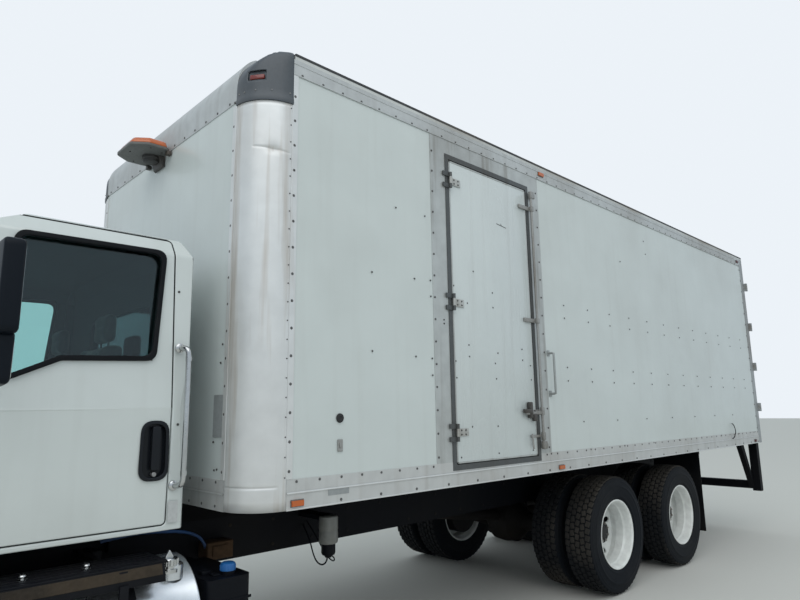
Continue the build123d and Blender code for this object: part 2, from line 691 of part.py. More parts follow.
# Grille: a frame with level bars, held in the hood's opening
with BuildPart() as grille:
    x0, x1 = hood_pivot_x - 66, hood_pivot_x - 36
    block(x0, x1, -grille_half, grille_half, grille_low, grille_high)
    block(x0, x1, -grille_half + 28, grille_half - 28, grille_low + 28, grille_high - 28, mode=Mode.SUBTRACT)
    bars = 7
    for i in range(bars):
        z = grille_low + 28 + (i + 1) * (grille_high - grille_low - 56) / (bars + 1)
        block(x0 + 4, x1, -grille_half + 28, grille_half - 28, z - 10, z + 10)
    block(x0, x0 + 12, -12, 12, grille_low, grille_high)
save(grille, "grille")

# Cab inside: dashboard with the steering column, seats and their bases, steering wheel
floor_in = cab_floor + cab_wall
seat_x = cab_back + 250
wheel_at = Vector(cab_back + 850, 430, 1800)
column = Vector(-sin(radians(32)), 0, cos(radians(32)))
with BuildPart() as dashboard:
    block(cab_front - 420, cab_front - 130, -900, 900, 1460, 1720)
    add(cab_inner, mode=Mode.INTERSECT)
    start = wheel_at - column * 330
    rod(tuple(start), tuple(wheel_at - column * 25.4), 32)
    block(cab_front - 560, cab_front - 400, 360, 500, 1500, 1640)
    for name, s in SIDES:
        block(seat_x + 30, seat_x + 420, s * 430 - 190, s * 430 + 190, floor_in, 1430)
save(dashboard, "cab_interior")
with BuildPart() as handwheel:
    with Locations(Plane(origin=wheel_at, x_dir=(0, 1, 0), z_dir=column).location):
        Torus(212, 15)
        Cylinder(52, 50)
        Box(400, 34, 16)
save(handwheel, "steering_wheel")
with BuildPart() as seats:
    for name, s in SIDES:
        block(seat_x, seat_x + 480, s * 430 - 240, s * 430 + 240, 1430, 1560)
        block(seat_x - 40, seat_x + 80, s * 430 - 230, s * 430 + 230, 1560, 2020)
        block(seat_x - 40, seat_x + 50, s * 430 - 120, s * 430 + 120, 2020, 2200)
save(seats, "seats")

# Fuel tank on the left, hung from the rail by two straps
tank_back = cab_back - 70
with BuildPart() as fuel_tank:
    rod((tank_back, tank_y, tank_z), (tank_back + tank_length, tank_y, tank_z), tank_radius)
    chamfer(fuel_tank.edges().filter_by(GeomType.CIRCLE), 18)
    rod((tank_back + 110, tank_y + 170, tank_z), (tank_back + 110, tank_y + 170, tank_z + tank_radius), 52)
save(fuel_tank, "fuel_tank")
# Right side: battery and after-treatment box of the same length
with BuildPart() as right_box:
    block(tank_back + 160, tank_back + tank_length, -560, -1090, 420, 905)
    for x in (tank_back + 300, tank_back + tank_length - 200):
        block(x - 30, x + 30, -frame_out, -560, 760, 900)
save(right_box, "right_side_box")

# Steps under both doors: a cover with an upper tread, hangers and a lower tread
step_back, step_front = door_back - 6, tank_back + tank_length - 10
step_top = 985
with BuildPart() as cab_steps:
    for x in (tank_back + 330, tank_back + tank_length - 210):
        rod((x - 24, tank_y, tank_z), (x + 24, tank_y, tank_z), tank_radius + 5)
        block(x - 24, x + 24, frame_out, tank_y - 180, tank_z - 190, frame_top - 20)
        rod((x - 30, tank_y, tank_z), (x + 30, tank_y, tank_z), tank_radius, mode=Mode.SUBTRACT)
    for name, s in SIDES:
        block(step_back, step_front, s * 830, s * 1110, step_top - 12, step_top)
        block(step_back, step_front, s * 1098, s * 1110, step_top - 110, step_top)
        for x in (step_back + 220, step_front - 60):
            block(x - 20, x + 20, s * frame_out, s * 1110, step_top - 45, step_top - 12)
            block(x - 20, x + 20, s * 1110, s * 1122, 480, step_top)
            block(x - 20, x + 20, s * 1110, s * 1170, 480, 492)
        block(step_back + 40, step_front - 40, s * 1110, s * 1180, 480, 504)
save(cab_steps, "cab_steps")

# Fluid tank behind the fuel tank, on its bracket
with BuildPart() as fluid_tank:
    block(tank_back - 270, tank_back - 30, 560, 1080, 430, 815)
    fillet(fluid_tank.edges().filter_by(Axis.Z), 40)
    rod((tank_back - 175, 1000, 815), (tank_back - 175, 1000, 855), 37)
    block(tank_back - 240, tank_back - 60, frame_out, 600, 780, 800)
save(fluid_tank, "fluid_tank")

# Air dryer canister on the left rail
canister = (body_front - 950, 700)
with BuildPart() as filter_canister:
    rod((*canister, 790), (*canister, 935), 62)
    rod((*canister, 705), (*canister, 790), 46)
    block(canister[0] - 50, canister[0] + 50, frame_out, canister[1], 935, 965)
save(filter_canister, "filter_canister")

# Exhaust on the right rail
muffler = (body_front - 1180, body_front - 80)
exhaust_y, exhaust_z = -640, frame_top - 160
with BuildPart() as exhaust:
    rod((muffler[0], exhaust_y, exhaust_z), (muffler[1], exhaust_y, exhaust_z), 130)
    rod((muffler[0] - 730, exhaust_y, exhaust_z), (tank_back + 160, exhaust_y, exhaust_z), 50)
    for x in (muffler[0] + 250, muffler[1] - 250):
        block(x - 20, x + 20, -frame_out, exhaust_y, frame_top - 100, frame_top - 40)
save(exhaust, "exhaust")
# Box body floor: long sills on the frame, cross sills and the boards
with BuildPart() as body_floor:
    for name, s in SIDES:
        block(panel_rear, body_front - 60, s * (frame_out - 70), s * frame_out, frame_top, body_bottom)
    sills = int((panel_front - panel_rear) / cross_sill_step)
    for i in range(sills + 1):
        x = panel_rear + 40 + i * (panel_front - panel_rear - 80) / sills
        block(x - 25, x + 25, -half + 25, half - 25, body_bottom, floor_height - floor_thick)
    block(panel_rear, body_front - wall - rail_lip, -half + corner_radius, half - corner_radius,
          floor_height - floor_thick, floor_height)
    block(panel_rear, panel_front, -half + wall + rail_lip, half - wall - rail_lip,
          floor_height - floor_thick, floor_height)
save(body_floor, "body_floor")

# Side door opening, cut from all that it passes
door_x1 = panel_front - side_door_front
door_x0 = door_x1 - side_door_width


def cut_side_opening():
    block(door_x0, door_x1, half - 80, half + 20, side_door_bottom, side_door_top, mode=Mode.SUBTRACT)


# Bottom rails along both sides and across the front, with a bright lip at mid height
lip_z = 1221
with BuildPart() as bottom_rails:
    for name, s in SIDES:
        block(panel_rear, panel_front, s * (half - 25), s * half, body_bottom, panel_bottom)
        block(panel_rear, panel_front, s * half, s * (half + 5), lip_z - 4, lip_z + 4)
    cut_side_opening()
    block(body_front - 25, body_front, -half + corner_radius, half - corner_radius, body_bottom, panel_bottom)
    block(body_front, body_front + 5, -half + corner_radius, half - corner_radius, lip_z - 4, lip_z + 4)
save(bottom_rails, "bottom_rails")

# Side walls and front wall
for name, s in SIDES:
    with BuildPart() as side_wall:
        block(panel_rear, panel_front, s * (half - rail_lip - wall), s * (half - rail_lip), panel_bottom, panel_top)
        if s == 1:
            cut_side_opening()
    save(side_wall, f"{name}_wall")
with BuildPart() as front_wall:
    block(body_front - rail_lip - wall, body_front - rail_lip, -half + corner_radius, half - corner_radius,
          panel_bottom, front_band)
save(front_wall, "front_wall")

# Top rails, roof skin with its crown, and the rounded front top rail
roof_skin = 30
roof_end = 240
brow_round = 228


def crown_edges(drop, base):
    with BuildLine() as outline:
        ThreePointArc((-half, body_edge - drop), (0, body_edge + roof_crown - drop), (half, body_edge - drop))
        Polyline((half, body_edge - drop), (half, base), (-half, base), (-half, body_edge - drop))
    return outline.edges()


with BuildPart() as roof:
    with BuildSketch(Plane.YZ.offset(body_rear)):
        make_face(crown_edges(0, panel_top))
        make_face(crown_edges(roof_skin, panel_top - 10), mode=Mode.SUBTRACT)
    extrude(amount=body_front - roof_end - body_rear)
    for name, s in SIDES:
        block(panel_front, body_front, s * (half - corner_radius), s * (half + 5), panel_top - 10, body_edge + 60,
              mode=Mode.SUBTRACT)
save(roof, "roof")


def brow_edges(top, inset):
    """Section of the front top rail: down the front face and round to the roof."""
    r = brow_round
    x, z = body_front - r, top - r
    with BuildLine() as outline:
        Line((body_front - roof_end, top - inset), (x, top - inset))
        ThreePointArc((x, top - inset), (x + (r - inset) * sin(radians(45)), z + (r - inset) * cos(radians(45))),
                      (body_front - inset, z))
        Polyline((body_front - inset, z), (body_front - inset, front_band),
                 (body_front - roof_end, front_band), (body_front - roof_end, top - inset))
    return outline.edges()


with BuildPart() as top_rails:
    with BuildSketch(Plane.XZ):
        make_face(brow_edges(body_edge + roof_crown, 0))
    extrude(amount=half - corner_radius, both=True)
    with BuildSketch(Plane.YZ.offset(body_front - 400)):
        make_face(crown_edges(0, front_band - 10))
    extrude(amount=500, mode=Mode.INTERSECT)
    with BuildSketch(Plane.XZ):
        make_face(brow_edges(body_edge, roof_skin))
    extrude(amount=half, both=True, mode=Mode.SUBTRACT)
    for name, s in SIDES:
        block(panel_rear, panel_front, s * (half - 45), s * half, panel_top, body_edge - roof_skin)
save(top_rails, "top_rails")

# Corner posts: quarter-round extrusions, and the moulded caps on top of them
post_wall = 26
cap_lip = 5
cap_edge = 30


def corner_piece(s, r, z0, z1):
    """A filled quarter round at one front corner."""
    y = s * (half - corner_radius)
    with BuildPart() as piece:
        with BuildSketch(Plane.XY.offset(z0)):
            with BuildLine():
                Line((panel_front, y), (panel_front + r, y))
                ThreePointArc((panel_front + r, y), (panel_front + r * cos(radians(45)),
                                                     y + s * r * sin(radians(45))), (panel_front, y + s * r))
                Line((panel_front, y + s * r), (panel_front, y))
            make_face()
        extrude(amount=z1 - z0)
    return piece.part


def dome_piece(s, r, z0, z1, brow):
    """The same quarter round under a domed top: rounded back from the front, tighter at the side."""
    front, side = panel_front + r, half - corner_radius + r
    with BuildPart() as piece:
        add(corner_piece(s, r, z0, z1))
        with BuildSketch(Plane.XZ):
            with BuildLine():
                Polyline((front - brow, z1), (panel_front - 1, z1), (panel_front - 1, z0), (front, z0),
                         (front, z1 - brow))
                ThreePointArc((front, z1 - brow), (front - brow * (1 - cos(radians(45))),
                                                   z1 - brow * (1 - sin(radians(45)))), (front - brow, z1))
            make_face()
        extrude(amount=half + r, both=True, mode=Mode.INTERSECT)
        with BuildSketch(Plane.YZ.offset(panel_front - 50)) as across:
            Polygon((0, z0), (s * side, z0), (s * side, z1), (0, z1), align=None)
            fillet([v for v in across.vertices() if abs(v.X) > 1 and v.Y > z0 + 1], cap_edge)
        extrude(amount=r + 100, mode=Mode.INTERSECT)
    return piece.part


with BuildPart() as corner_posts:
    for name, s in SIDES:
        add(corner_piece(s, corner_radius, body_bottom, cap_bottom))
        add(corner_piece(s, corner_radius - post_wall, body_bottom, cap_bottom), mode=Mode.SUBTRACT)
save(corner_posts, "corner_posts")
cap_top = body_edge + 18
with BuildPart() as corner_caps:
    for name, s in SIDES:
        add(dome_piece(s, corner_radius + cap_lip, cap_bottom, cap_top, brow_round))
        add(dome_piece(s, corner_radius - post_wall, cap_bottom, cap_top - 34, brow_round - 30),
            mode=Mode.SUBTRACT)
save(corner_caps, "corner_caps")

# Side door frame, with flat bright posts beside it and a header over it
with BuildPart() as side_door_frame:
    block(door_x0, door_x1, half - rail_lip - wall, half + rail_lip, side_door_bottom, side_door_top)
    block(door_x0 + side_frame, door_x1 - side_frame, half - 80, half + 20,
          side_door_bottom + side_frame, side_door_top - side_frame, mode=Mode.SUBTRACT)
    for x0, x1 in ((door_x1, door_x1 + 152), (door_x0 - 152, door_x0)):
        block(x0, x1, half - rail_lip, half - 1, panel_bottom, panel_top)
    block(door_x0, door_x1, half - rail_lip, half - 1, side_door_top, panel_top)
    pin_x, pin_y = door_x1 - side_frame - side_leaf_gap / 2, half + 20
    for z in side_hinges:
        for z0, z1 in ((z - 58, z - 27), (z + 27, z + 58)):
            block(pin_x + 3, door_x1 + 30, half + rail_lip - 1, half + 12, z0, z1)
            block(pin_x, pin_x + 12, half + 6, half + 22, z0, z1)
            rod((pin_x, pin_y, z0), (pin_x, pin_y, z1), knuckle_radius)
        rod((pin_x, pin_y, z - 58), (pin_x, pin_y, z + 58), pin_radius)
save(side_door_frame, "side_door_frame")

# Side door leaf with its straps, lock rod and handle
leaf_x0, leaf_x1 = door_x0 + side_frame + side_leaf_gap, door_x1 - side_frame - side_leaf_gap
leaf_z0, leaf_z1 = side_door_bottom + side_frame + side_leaf_gap, side_door_top - side_frame - side_leaf_gap
with BuildPart() as side_door:
    block(leaf_x0, leaf_x1, half - side_leaf, half, leaf_z0, leaf_z1)
    for z in side_hinges:
        block(leaf_x1 - 120, pin_x, half, half + 8, z - 26, z + 26)
        block(pin_x - 14, pin_x, half + 1, half + 24, z - 26, z + 26)
        rod((pin_x, pin_y, z - 26), (pin_x, pin_y, z + 26), knuckle_radius)
        rod((pin_x, pin_y, z - 30), (pin_x, pin_y, z + 30), pin_radius + 0.4, mode=Mode.SUBTRACT)
    # lock rod beside the leaf, over the frame, in guides that reach out to it, with its handle
    rod_x, rod_y = door_x0 - 11, half + 25
    rod((rod_x, rod_y, leaf_z0 + 50), (rod_x, rod_y, leaf_z1 - 5), 11)
    for z in (leaf_z0 + 70, leaf_z0 + 330, side_hinges[1] - 46, side_hinges[0], leaf_z1 - 35):
        block(rod_x - 17, rod_x + 17, rod_y - 13, rod_y + 13, z - 24, z + 24)
    for z in (leaf_z0 + 330, side_hinges[1] - 46, side_hinges[0]):
        block(rod_x, leaf_x0 + 20, half + 10, half + 20, z - 15, z + 15)
        block(leaf_x0 + 6, leaf_x0 + 105, half, half + 15, z - 15, z + 15)
    block(rod_x, leaf_x0 + 170, half + 22, half + 34, leaf_z0 + 316, leaf_z0 + 344)
    block(leaf_x0 + 85, leaf_x0 + 117, half, half + 40, leaf_z0 + 280, leaf_z0 + 400)
save(side_door, "side_door")

# Rear frame: posts, header and sill, with the fixed halves of the hinges
rear_open = half - rear_post
with BuildPart() as rear_frame:
    block(body_rear, panel_rear, -half, half, body_bottom, body_edge - roof_skin)
    block(body_rear - 10, panel_rear + 10, -rear_open, rear_open, rear_sill_top, rear_header, mode=Mode.SUBTRACT)
    block(body_rear + rear_leaf + 10, panel_rear + 10, -rear_open, rear_open, floor_height - floor_thick,
          rear_sill_top + 5, mode=Mode.SUBTRACT)
    for name, s in SIDES:
        px, py = body_rear - hinge_stand, s * (half + hinge_stand)
        for z in rear_hinges:
            for z0, z1 in ((z - 55, z - 26), (z + 26, z + 55)):
                block(body_rear - 10, body_rear, s * (rear_open + 10), py, z0, z1)
                block(px - 6, body_rear, s * (half + 15), s * (half + 31), z0, z1)
                rod((px, py, z0), (px, py, z1), knuckle_radius)
            rod((px, py, z - 55), (px, py, z + 55), pin_radius)
save(rear_frame, "rear_frame")

# Rear door leaves with straps, lock rods and handles
for name, s in SIDES:
    px, py = body_rear - hinge_stand, s * (half + hinge_stand)
    with BuildPart() as leaf:
        y_out, y_in = s * (rear_open - rear_leaf_gap), s * 4
        block(body_rear, body_rear + rear_leaf, y_out, y_in, rear_sill_top + rear_leaf_gap,
              rear_header - rear_leaf_gap)
        for z in rear_hinges:
            block(body_rear - 10, body_rear, s * (rear_open - 240), y_out, z - 25, z + 25)
            block(body_rear - 10, body_rear - 1, y_out, py, z - 25, z + 25)
            block(px - 6, body_rear - 1, s * (half + 15), s * (half + 31), z - 25, z + 25)
            rod((px, py, z - 25), (px, py, z + 25), knuckle_radius)
            rod((px, py, z - 30), (px, py, z + 30), pin_radius + 0.4, mode=Mode.SUBTRACT)
        for y in (s * 140, s * 760):
            rod((body_rear - 16, y, rear_sill_top + 20), (body_rear - 16, y, rear_header - 20), 12)
            for z in (rear_sill_top + 60, 1700, 2400, 3100, rear_header - 60):
                block(body_rear - 14, body_rear, y - 28, y + 28, z - 20, z + 20)
            block(body_rear - 22, body_rear - 8, y, y + s * 380, 1480, 1508)
    save(leaf, f"rear_door_{name}")

# Underride guard: corner posts, cross bar, braces and inner hangers
bar_low, bar_high = 530, 630
with BuildPart() as guard:
    block(body_rear + 20, body_rear + 90, -1150, 1150, bar_low, bar_high)
    for name, s in SIDES:
        block(body_rear + 10, body_rear + 100, s * 1150, s * 1250, 505, body_bottom)
        block(body_rear + 20, body_rear + 90, s * (frame_out - 60), s * (frame_out - 10), bar_high, frame_top)
        with BuildSketch(side_plane(s * 1160)):
            with BuildLine():
                Polyline((body_rear + 100, 540), (body_rear + 100, 640), (body_rear + 355, body_bottom),
                         (body_rear + 455, body_bottom), close=True)
            make_face()
        extrude(amount=-s * 12)
    block(body_rear + 20, body_rear + 110, -frame_out, frame_out, frame_top, body_bottom)
save(guard, "underride_guard")

# Mud flaps on hanger bars
flap_x = axle_x[1] - tyre_radius - 250
with BuildPart() as mud_flaps:
    for name, s in SIDES:
        block(flap_x - 4, flap_x + 4, s * 610, s * 1150, 225, 1075)
        block(flap_x - 15, flap_x + 15, s * frame_out, s * 1150, 1075, 1110)
save(mud_flaps, "mud_flaps")

# Marker lamps on the rails, and tail lamps in the rear sill and header
rail_lamp = body_bottom + 34
roof_lamp = body_edge - 76
tail_lamp = body_bottom + 64
with BuildPart() as marker_lamps:
    for name, s in SIDES:
        for x, z in ((panel_front - 65, rail_lamp), (door_x0 - 278, rail_lamp), (body_rear + 260, rail_lamp),
                     (door_x0 - 213, roof_lamp), (body_rear + 200, roof_lamp)):
            block(x - 36, x + 36, s * half, s * (half + 13), z - 14, z + 14)
    for name, s in SIDES:
        for y in (1020, 860):
            rod((body_rear - 8, s * y, tail_lamp), (body_rear, s * y, tail_lamp), 50)
    for y in (-1180, -190, 0, 190, 1180):
        block(body_rear - 12, body_rear, y - 32, y + 32, roof_lamp - 15, roof_lamp + 15)
save(marker_lamps, "marker_lamps")

# Beacon: a flat base with its lens on a round mount and a foot at the middle of the front wall
beacon_half, beacon_reach, beacon_base, beacon_lens = 190, 250, 18, 48
beacon_low = front_band - 13
with BuildPart() as beacon:
    middle = body_front + 6 + beacon_reach / 2
    with BuildSketch(Plane.XY.offset(beacon_low)):
        with Locations((middle, 0)):
            RectangleRounded(beacon_reach, 2 * beacon_half, 60)
    extrude(amount=beacon_base)
    with BuildSketch(Plane.XY.offset(beacon_low + beacon_base)):
        with Locations((middle, 0)):
            RectangleRounded(beacon_reach - 16, 2 * beacon_half - 16, 52)
    extrude(amount=beacon_lens, taper=15)
    rod((body_front + 66, 0, beacon_low - 45), (body_front + 66, 0, beacon_low), 58)
    block(body_front - rail_lip, body_front + 66, -40, 40, beacon_low - 45, beacon_low - 30)
    block(body_front - rail_lip, body_front + 6, -75, 75, beacon_low - 80, beacon_low - 5)
save(beacon, "beacon")

# Grab handles: one at the side door and one behind each cab door
with BuildPart() as grab_handles:
    x = door_x0 - 179
    for z in (1745, 2070):
        rod((x, half - rail_lip, z), (x, half + 50, z), 9)
    rod((x, half + 50, 1735), (x, half + 50, 2080), 10)
    for name, s in SIDES:
        x = cab_back + 62
        for z in (1290, 1950):
            rod((x, s * (cab_width / 2 - 30), z), (x, s * (cab_width / 2 + 60), z), 12)
        rod((x, s * (cab_width / 2 + 60), 1270), (x, s * (cab_width / 2 + 60), 1970), 14)
    add(cab_outer, mode=Mode.SUBTRACT)
save(grab_handles, "grab_handles")
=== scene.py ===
import math

import bpy
import bmesh
from mathutils import Matrix, Vector, noise


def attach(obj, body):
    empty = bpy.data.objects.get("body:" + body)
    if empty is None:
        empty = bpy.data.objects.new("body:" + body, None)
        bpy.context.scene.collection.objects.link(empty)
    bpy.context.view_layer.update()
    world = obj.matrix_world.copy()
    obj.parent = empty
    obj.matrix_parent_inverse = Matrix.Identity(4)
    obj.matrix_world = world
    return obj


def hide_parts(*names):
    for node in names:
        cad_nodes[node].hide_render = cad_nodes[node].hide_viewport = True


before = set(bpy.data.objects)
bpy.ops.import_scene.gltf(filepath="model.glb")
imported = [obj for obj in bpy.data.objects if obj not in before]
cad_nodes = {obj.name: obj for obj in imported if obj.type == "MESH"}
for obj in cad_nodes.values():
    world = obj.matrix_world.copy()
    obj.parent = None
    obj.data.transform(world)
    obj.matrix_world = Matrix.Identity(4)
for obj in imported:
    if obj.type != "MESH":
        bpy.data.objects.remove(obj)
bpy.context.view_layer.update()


# Camera: it stands beside the cab at eye height and looks back and up along the box body.
# Its place, turn and lens were solved from the body's own corners, rails, rivets and wheels.
camera_lens = bpy.data.cameras.new("camera")
camera_lens.sensor_width = 36
camera_lens.lens = 27.529
camera_lens.clip_end = 300
camera = bpy.data.objects.new("camera", camera_lens)
camera.location = (4.02338, 4.05662, 1.63541)
camera.rotation_euler = [math.radians(turn) for turn in (100.17793, 0.81941, 136.34599)]
bpy.context.scene.collection.objects.link(camera)
bpy.context.scene.camera = camera
bpy.context.scene.view_settings.view_transform = "Standard"

# Studio: a plain pale floor, an even sky and one broad lamp high on the camera's side.
# The camera and the glass see one sky, reflections a duller one, and a third lights the truck.
sky = bpy.data.worlds.new("sky")
bpy.context.scene.world = sky
sky.use_nodes = True
sky_nodes, sky_links = sky.node_tree.nodes, sky.node_tree.links
sky_light = sky_nodes["Background"]
sky_light.inputs["Color"].default_value = (0.87, 0.96, 0.98, 1)
sky_light.inputs["Strength"].default_value = 0.71
sky_seen = sky_nodes.new("ShaderNodeBackground")
sky_seen.inputs["Color"].default_value = (0.84, 0.89, 0.94, 1)
sky_seen.inputs["Strength"].default_value = 1.0
sky_shiny = sky_nodes.new("ShaderNodeBackground")
sky_shiny.inputs["Color"].default_value = (0.62, 0.70, 0.78, 1)
sky_shiny.inputs["Strength"].default_value = 1.0
sky_path = sky_nodes.new("ShaderNodeLightPath")
sky_clear = sky_nodes.new("ShaderNodeMath")
sky_clear.operation = "MAXIMUM"
sky_links.new(sky_path.outputs["Is Camera Ray"], sky_clear.inputs[0])
sky_links.new(sky_path.outputs["Is Transmission Ray"], sky_clear.inputs[1])
sky_choice = sky_nodes.new("ShaderNodeMixShader")
sky_gloss = sky_nodes.new("ShaderNodeMixShader")
sky_links.new(sky_path.outputs["Is Glossy Ray"], sky_gloss.inputs[0])
sky_links.new(sky_light.outputs[0], sky_gloss.inputs[1])
sky_links.new(sky_shiny.outputs[0], sky_gloss.inputs[2])
sky_links.new(sky_clear.outputs[0], sky_choice.inputs[0])
sky_links.new(sky_gloss.outputs[0], sky_choice.inputs[1])
sky_links.new(sky_seen.outputs[0], sky_choice.inputs[2])
sky_links.new(sky_choice.outputs[0], sky_nodes["World Output"].inputs["Surface"])

lamp_light = bpy.data.lights.new("overhead", "AREA")
lamp_light.shape = "RECTANGLE"
lamp_light.size, lamp_light.size_y = 16, 12
lamp_light.energy = 750
lamp_light.color = (1.0, 0.98, 0.95)
overhead = bpy.data.objects.new("overhead", lamp_light)
overhead.location = (7.0, 7.5, 12.0)
overhead.rotation_euler = (Vector((0.5, 0, 1.6)) - overhead.location).to_track_quat("-Z", "Y").to_euler()
bpy.context.scene.collection.objects.link(overhead)

bpy.ops.object.select_all(action="DESELECT")
bpy.ops.mesh.primitive_plane_add(size=160, location=(0, 0, -0.004))
floor = bpy.context.object
floor.name = "floor"
floor_paint = bpy.data.materials.new("pale_floor")
floor_paint.use_nodes = True
floor_shader = floor_paint.node_tree.nodes["Principled BSDF"]
floor_shader.inputs["Base Color"].default_value = (0.66, 0.655, 0.63, 1)
floor_shader.inputs["Roughness"].default_value = 0.9
floor.data.materials.append(floor_paint)


# White side, front and roof panels of the box body: pre-painted sheet riveted to posts and rails.
# The sheets are flat solids of the frame; dust, faint streaks and waviness come from their paint,
# whose weathering group is also the base of every other painted or bare finish below.
def weathering():
    """Streaks that run down, drifting dust and a fine mottle, over Object coordinates."""
    group = bpy.data.node_groups.new("weathering", "ShaderNodeTree")
    wells = (("Paint", "NodeSocketColor", (0.7, 0.7, 0.7, 1)),
             ("Dirt", "NodeSocketColor", (0.2, 0.16, 0.12, 1)),
             ("Streaks", "NodeSocketFloat", 0.3), ("Dust", "NodeSocketFloat", 0.3),
             ("Mottle", "NodeSocketFloat", 0.1), ("Grain", "NodeSocketFloat", 40.0),
             ("Gloss", "NodeSocketFloat", 0.4), ("Low Dirt", "NodeSocketFloat", 0.0),
             ("Dirt Height", "NodeSocketFloat", 1.2))
    for name, kind, value in wells:
        group.interface.new_socket(name=name, in_out="INPUT", socket_type=kind).default_value = value
    for name, kind in (("Color", "NodeSocketColor"), ("Roughness", "NodeSocketFloat"),
                       ("Height", "NodeSocketFloat")):
        group.interface.new_socket(name=name, in_out="OUTPUT", socket_type=kind)
    add, link = group.nodes.new, group.links.new
    come, go = add("NodeGroupInput"), add("NodeGroupOutput")
    place = add("ShaderNodeTexCoord")

    def cloud(scale, detail, low, high, squeeze=(1, 1, 1)):
        turn = add("ShaderNodeMapping")
        turn.inputs["Scale"].default_value = squeeze
        link(place.outputs["Object"], turn.inputs["Vector"])
        wave = add("ShaderNodeTexNoise")
        wave.inputs["Detail"].default_value = detail
        link(turn.outputs["Vector"], wave.inputs["Vector"])
        if scale is None:
            link(come.outputs["Grain"], wave.inputs["Scale"])
        else:
            wave.inputs["Scale"].default_value = scale
        band = add("ShaderNodeMapRange")
        band.inputs["From Min"].default_value = low
        band.inputs["From Max"].default_value = high
        link(wave.outputs["Fac"], band.inputs["Value"])
        return band.outputs["Result"]

    def sum_of(kind, a, b):
        work = add("ShaderNodeMath")
        work.operation = kind
        for number, value in enumerate((a, b)):
            if isinstance(value, (int, float)):
                work.inputs[number].default_value = value
            else:
                link(value, work.inputs[number])
        return work.outputs[0]

    run = cloud(6.0, 4, 0.52, 0.74, (2.2, 2.2, 0.12))
    drift = cloud(1.1, 5, 0.46, 0.72)
    fine = cloud(None, 3, 0.3, 0.7)
    parts = add("ShaderNodeSeparateXYZ")
    link(place.outputs["Object"], parts.inputs[0])
    low = add("ShaderNodeMapRange")
    low.inputs["From Min"].default_value = 0.0
    low.inputs["To Min"].default_value = 1.0
    low.inputs["To Max"].default_value = 0.0
    link(parts.outputs["Z"], low.inputs["Value"])
    link(come.outputs["Dirt Height"], low.inputs["From Max"])
    splash = sum_of("MULTIPLY", sum_of("MULTIPLY", low.outputs["Result"], come.outputs["Low Dirt"]),
                    sum_of("ADD", 0.55, sum_of("MULTIPLY", drift, 0.45)))
    dirt = sum_of("ADD", sum_of("MULTIPLY", run, come.outputs["Streaks"]),
                  sum_of("ADD", sum_of("MULTIPLY", drift, come.outputs["Dust"]), splash))
    dirt = sum_of("MINIMUM", dirt, 1.0)
    light = add("ShaderNodeMix")
    light.data_type, light.blend_type = "RGBA", "MULTIPLY"
    link(come.outputs["Mottle"], light.inputs[0])
    link(come.outputs["Paint"], light.inputs[6])
    grey = add("ShaderNodeCombineColor")
    for channel in range(3):
        link(sum_of("ADD", 0.6, sum_of("MULTIPLY", fine, 0.5)), grey.inputs[channel])
    link(grey.outputs[0], light.inputs[7])
    soil = add("ShaderNodeMix")
    soil.data_type = "RGBA"
    link(dirt, soil.inputs[0])
    link(light.outputs[2], soil.inputs[6])
    link(come.outputs["Dirt"], soil.inputs[7])
    link(soil.outputs[2], go.inputs["Color"])
    link(sum_of("ADD", come.outputs["Gloss"], sum_of("MULTIPLY", dirt, 0.35)), go.inputs["Roughness"])
    link(fine, go.inputs["Height"])
    return group


weather = weathering()


def finish(name, paint, dirt=(0.20, 0.165, 0.13), streaks=0.0, dust=0.0, mottle=0.1, grain=40.0, gloss=0.4,
           shine=0.5, low_dirt=0.0, dirt_height=1.2, metal=0.0, coat=0.0, bump=0.05, bump_depth=0.0004):
    """A material on the weathering group, with its own colour, dirt, gloss and relief."""
    material = bpy.data.materials.new(name)
    material.use_nodes = True
    tree = material.node_tree
    shader = tree.nodes["Principled BSDF"]
    worn = tree.nodes.new("ShaderNodeGroup")
    worn.node_tree = weather
    worn.inputs["Paint"].default_value = (*paint, 1)
    worn.inputs["Dirt"].default_value = (*dirt, 1)
    for socket, value in (("Streaks", streaks), ("Dust", dust), ("Mottle", mottle), ("Grain", grain),
                          ("Gloss", gloss), ("Low Dirt", low_dirt), ("Dirt Height", dirt_height)):
        worn.inputs[socket].default_value = value
    tree.links.new(worn.outputs["Color"], shader.inputs["Base Color"])
    tree.links.new(worn.outputs["Roughness"], shader.inputs["Roughness"])
    relief = tree.nodes.new("ShaderNodeBump")
    relief.inputs["Strength"].default_value = bump
    relief.inputs["Distance"].default_value = bump_depth
    tree.links.new(worn.outputs["Height"], relief.inputs["Height"])
    tree.links.new(relief.outputs["Normal"], shader.inputs["Normal"])
    shader.inputs["Metallic"].default_value = metal
    shader.inputs["Specular IOR Level"].default_value = shine
    shader.inputs["Coat Weight"].default_value = coat
    shader.inputs["Coat Roughness"].default_value = 0.08
    return material


def dress(material, *names):
    """Gives frame nodes a better material in place of their own."""
    for name in names:
        for well in cad_nodes[name].material_slots:
            well.material = material


panel_paint = finish("panel_white", (0.600, 0.650, 0.650), streaks=0.05, dust=0.10, mottle=0.10, grain=3.0,
                     gloss=0.30, coat=0.15, bump=0.12, bump_depth=0.003)
roof_paint = finish("roof_white", (0.58, 0.60, 0.60), streaks=0.0, dust=0.55, mottle=0.25, grain=6.0,
                    gloss=0.5)
dress(panel_paint, "left_wall", "right_wall", "front_wall")
dress(roof_paint, "roof")


# Rivets: domed heads, darkened by old dirt, in rows along every rail, post strip and seam.
# One head is shaped, then repeated along its row at the pitch read from the real body.
def deselect():
    """Clears the selection, which a new piece leaves behind it."""
    bpy.ops.object.select_all(action="DESELECT")


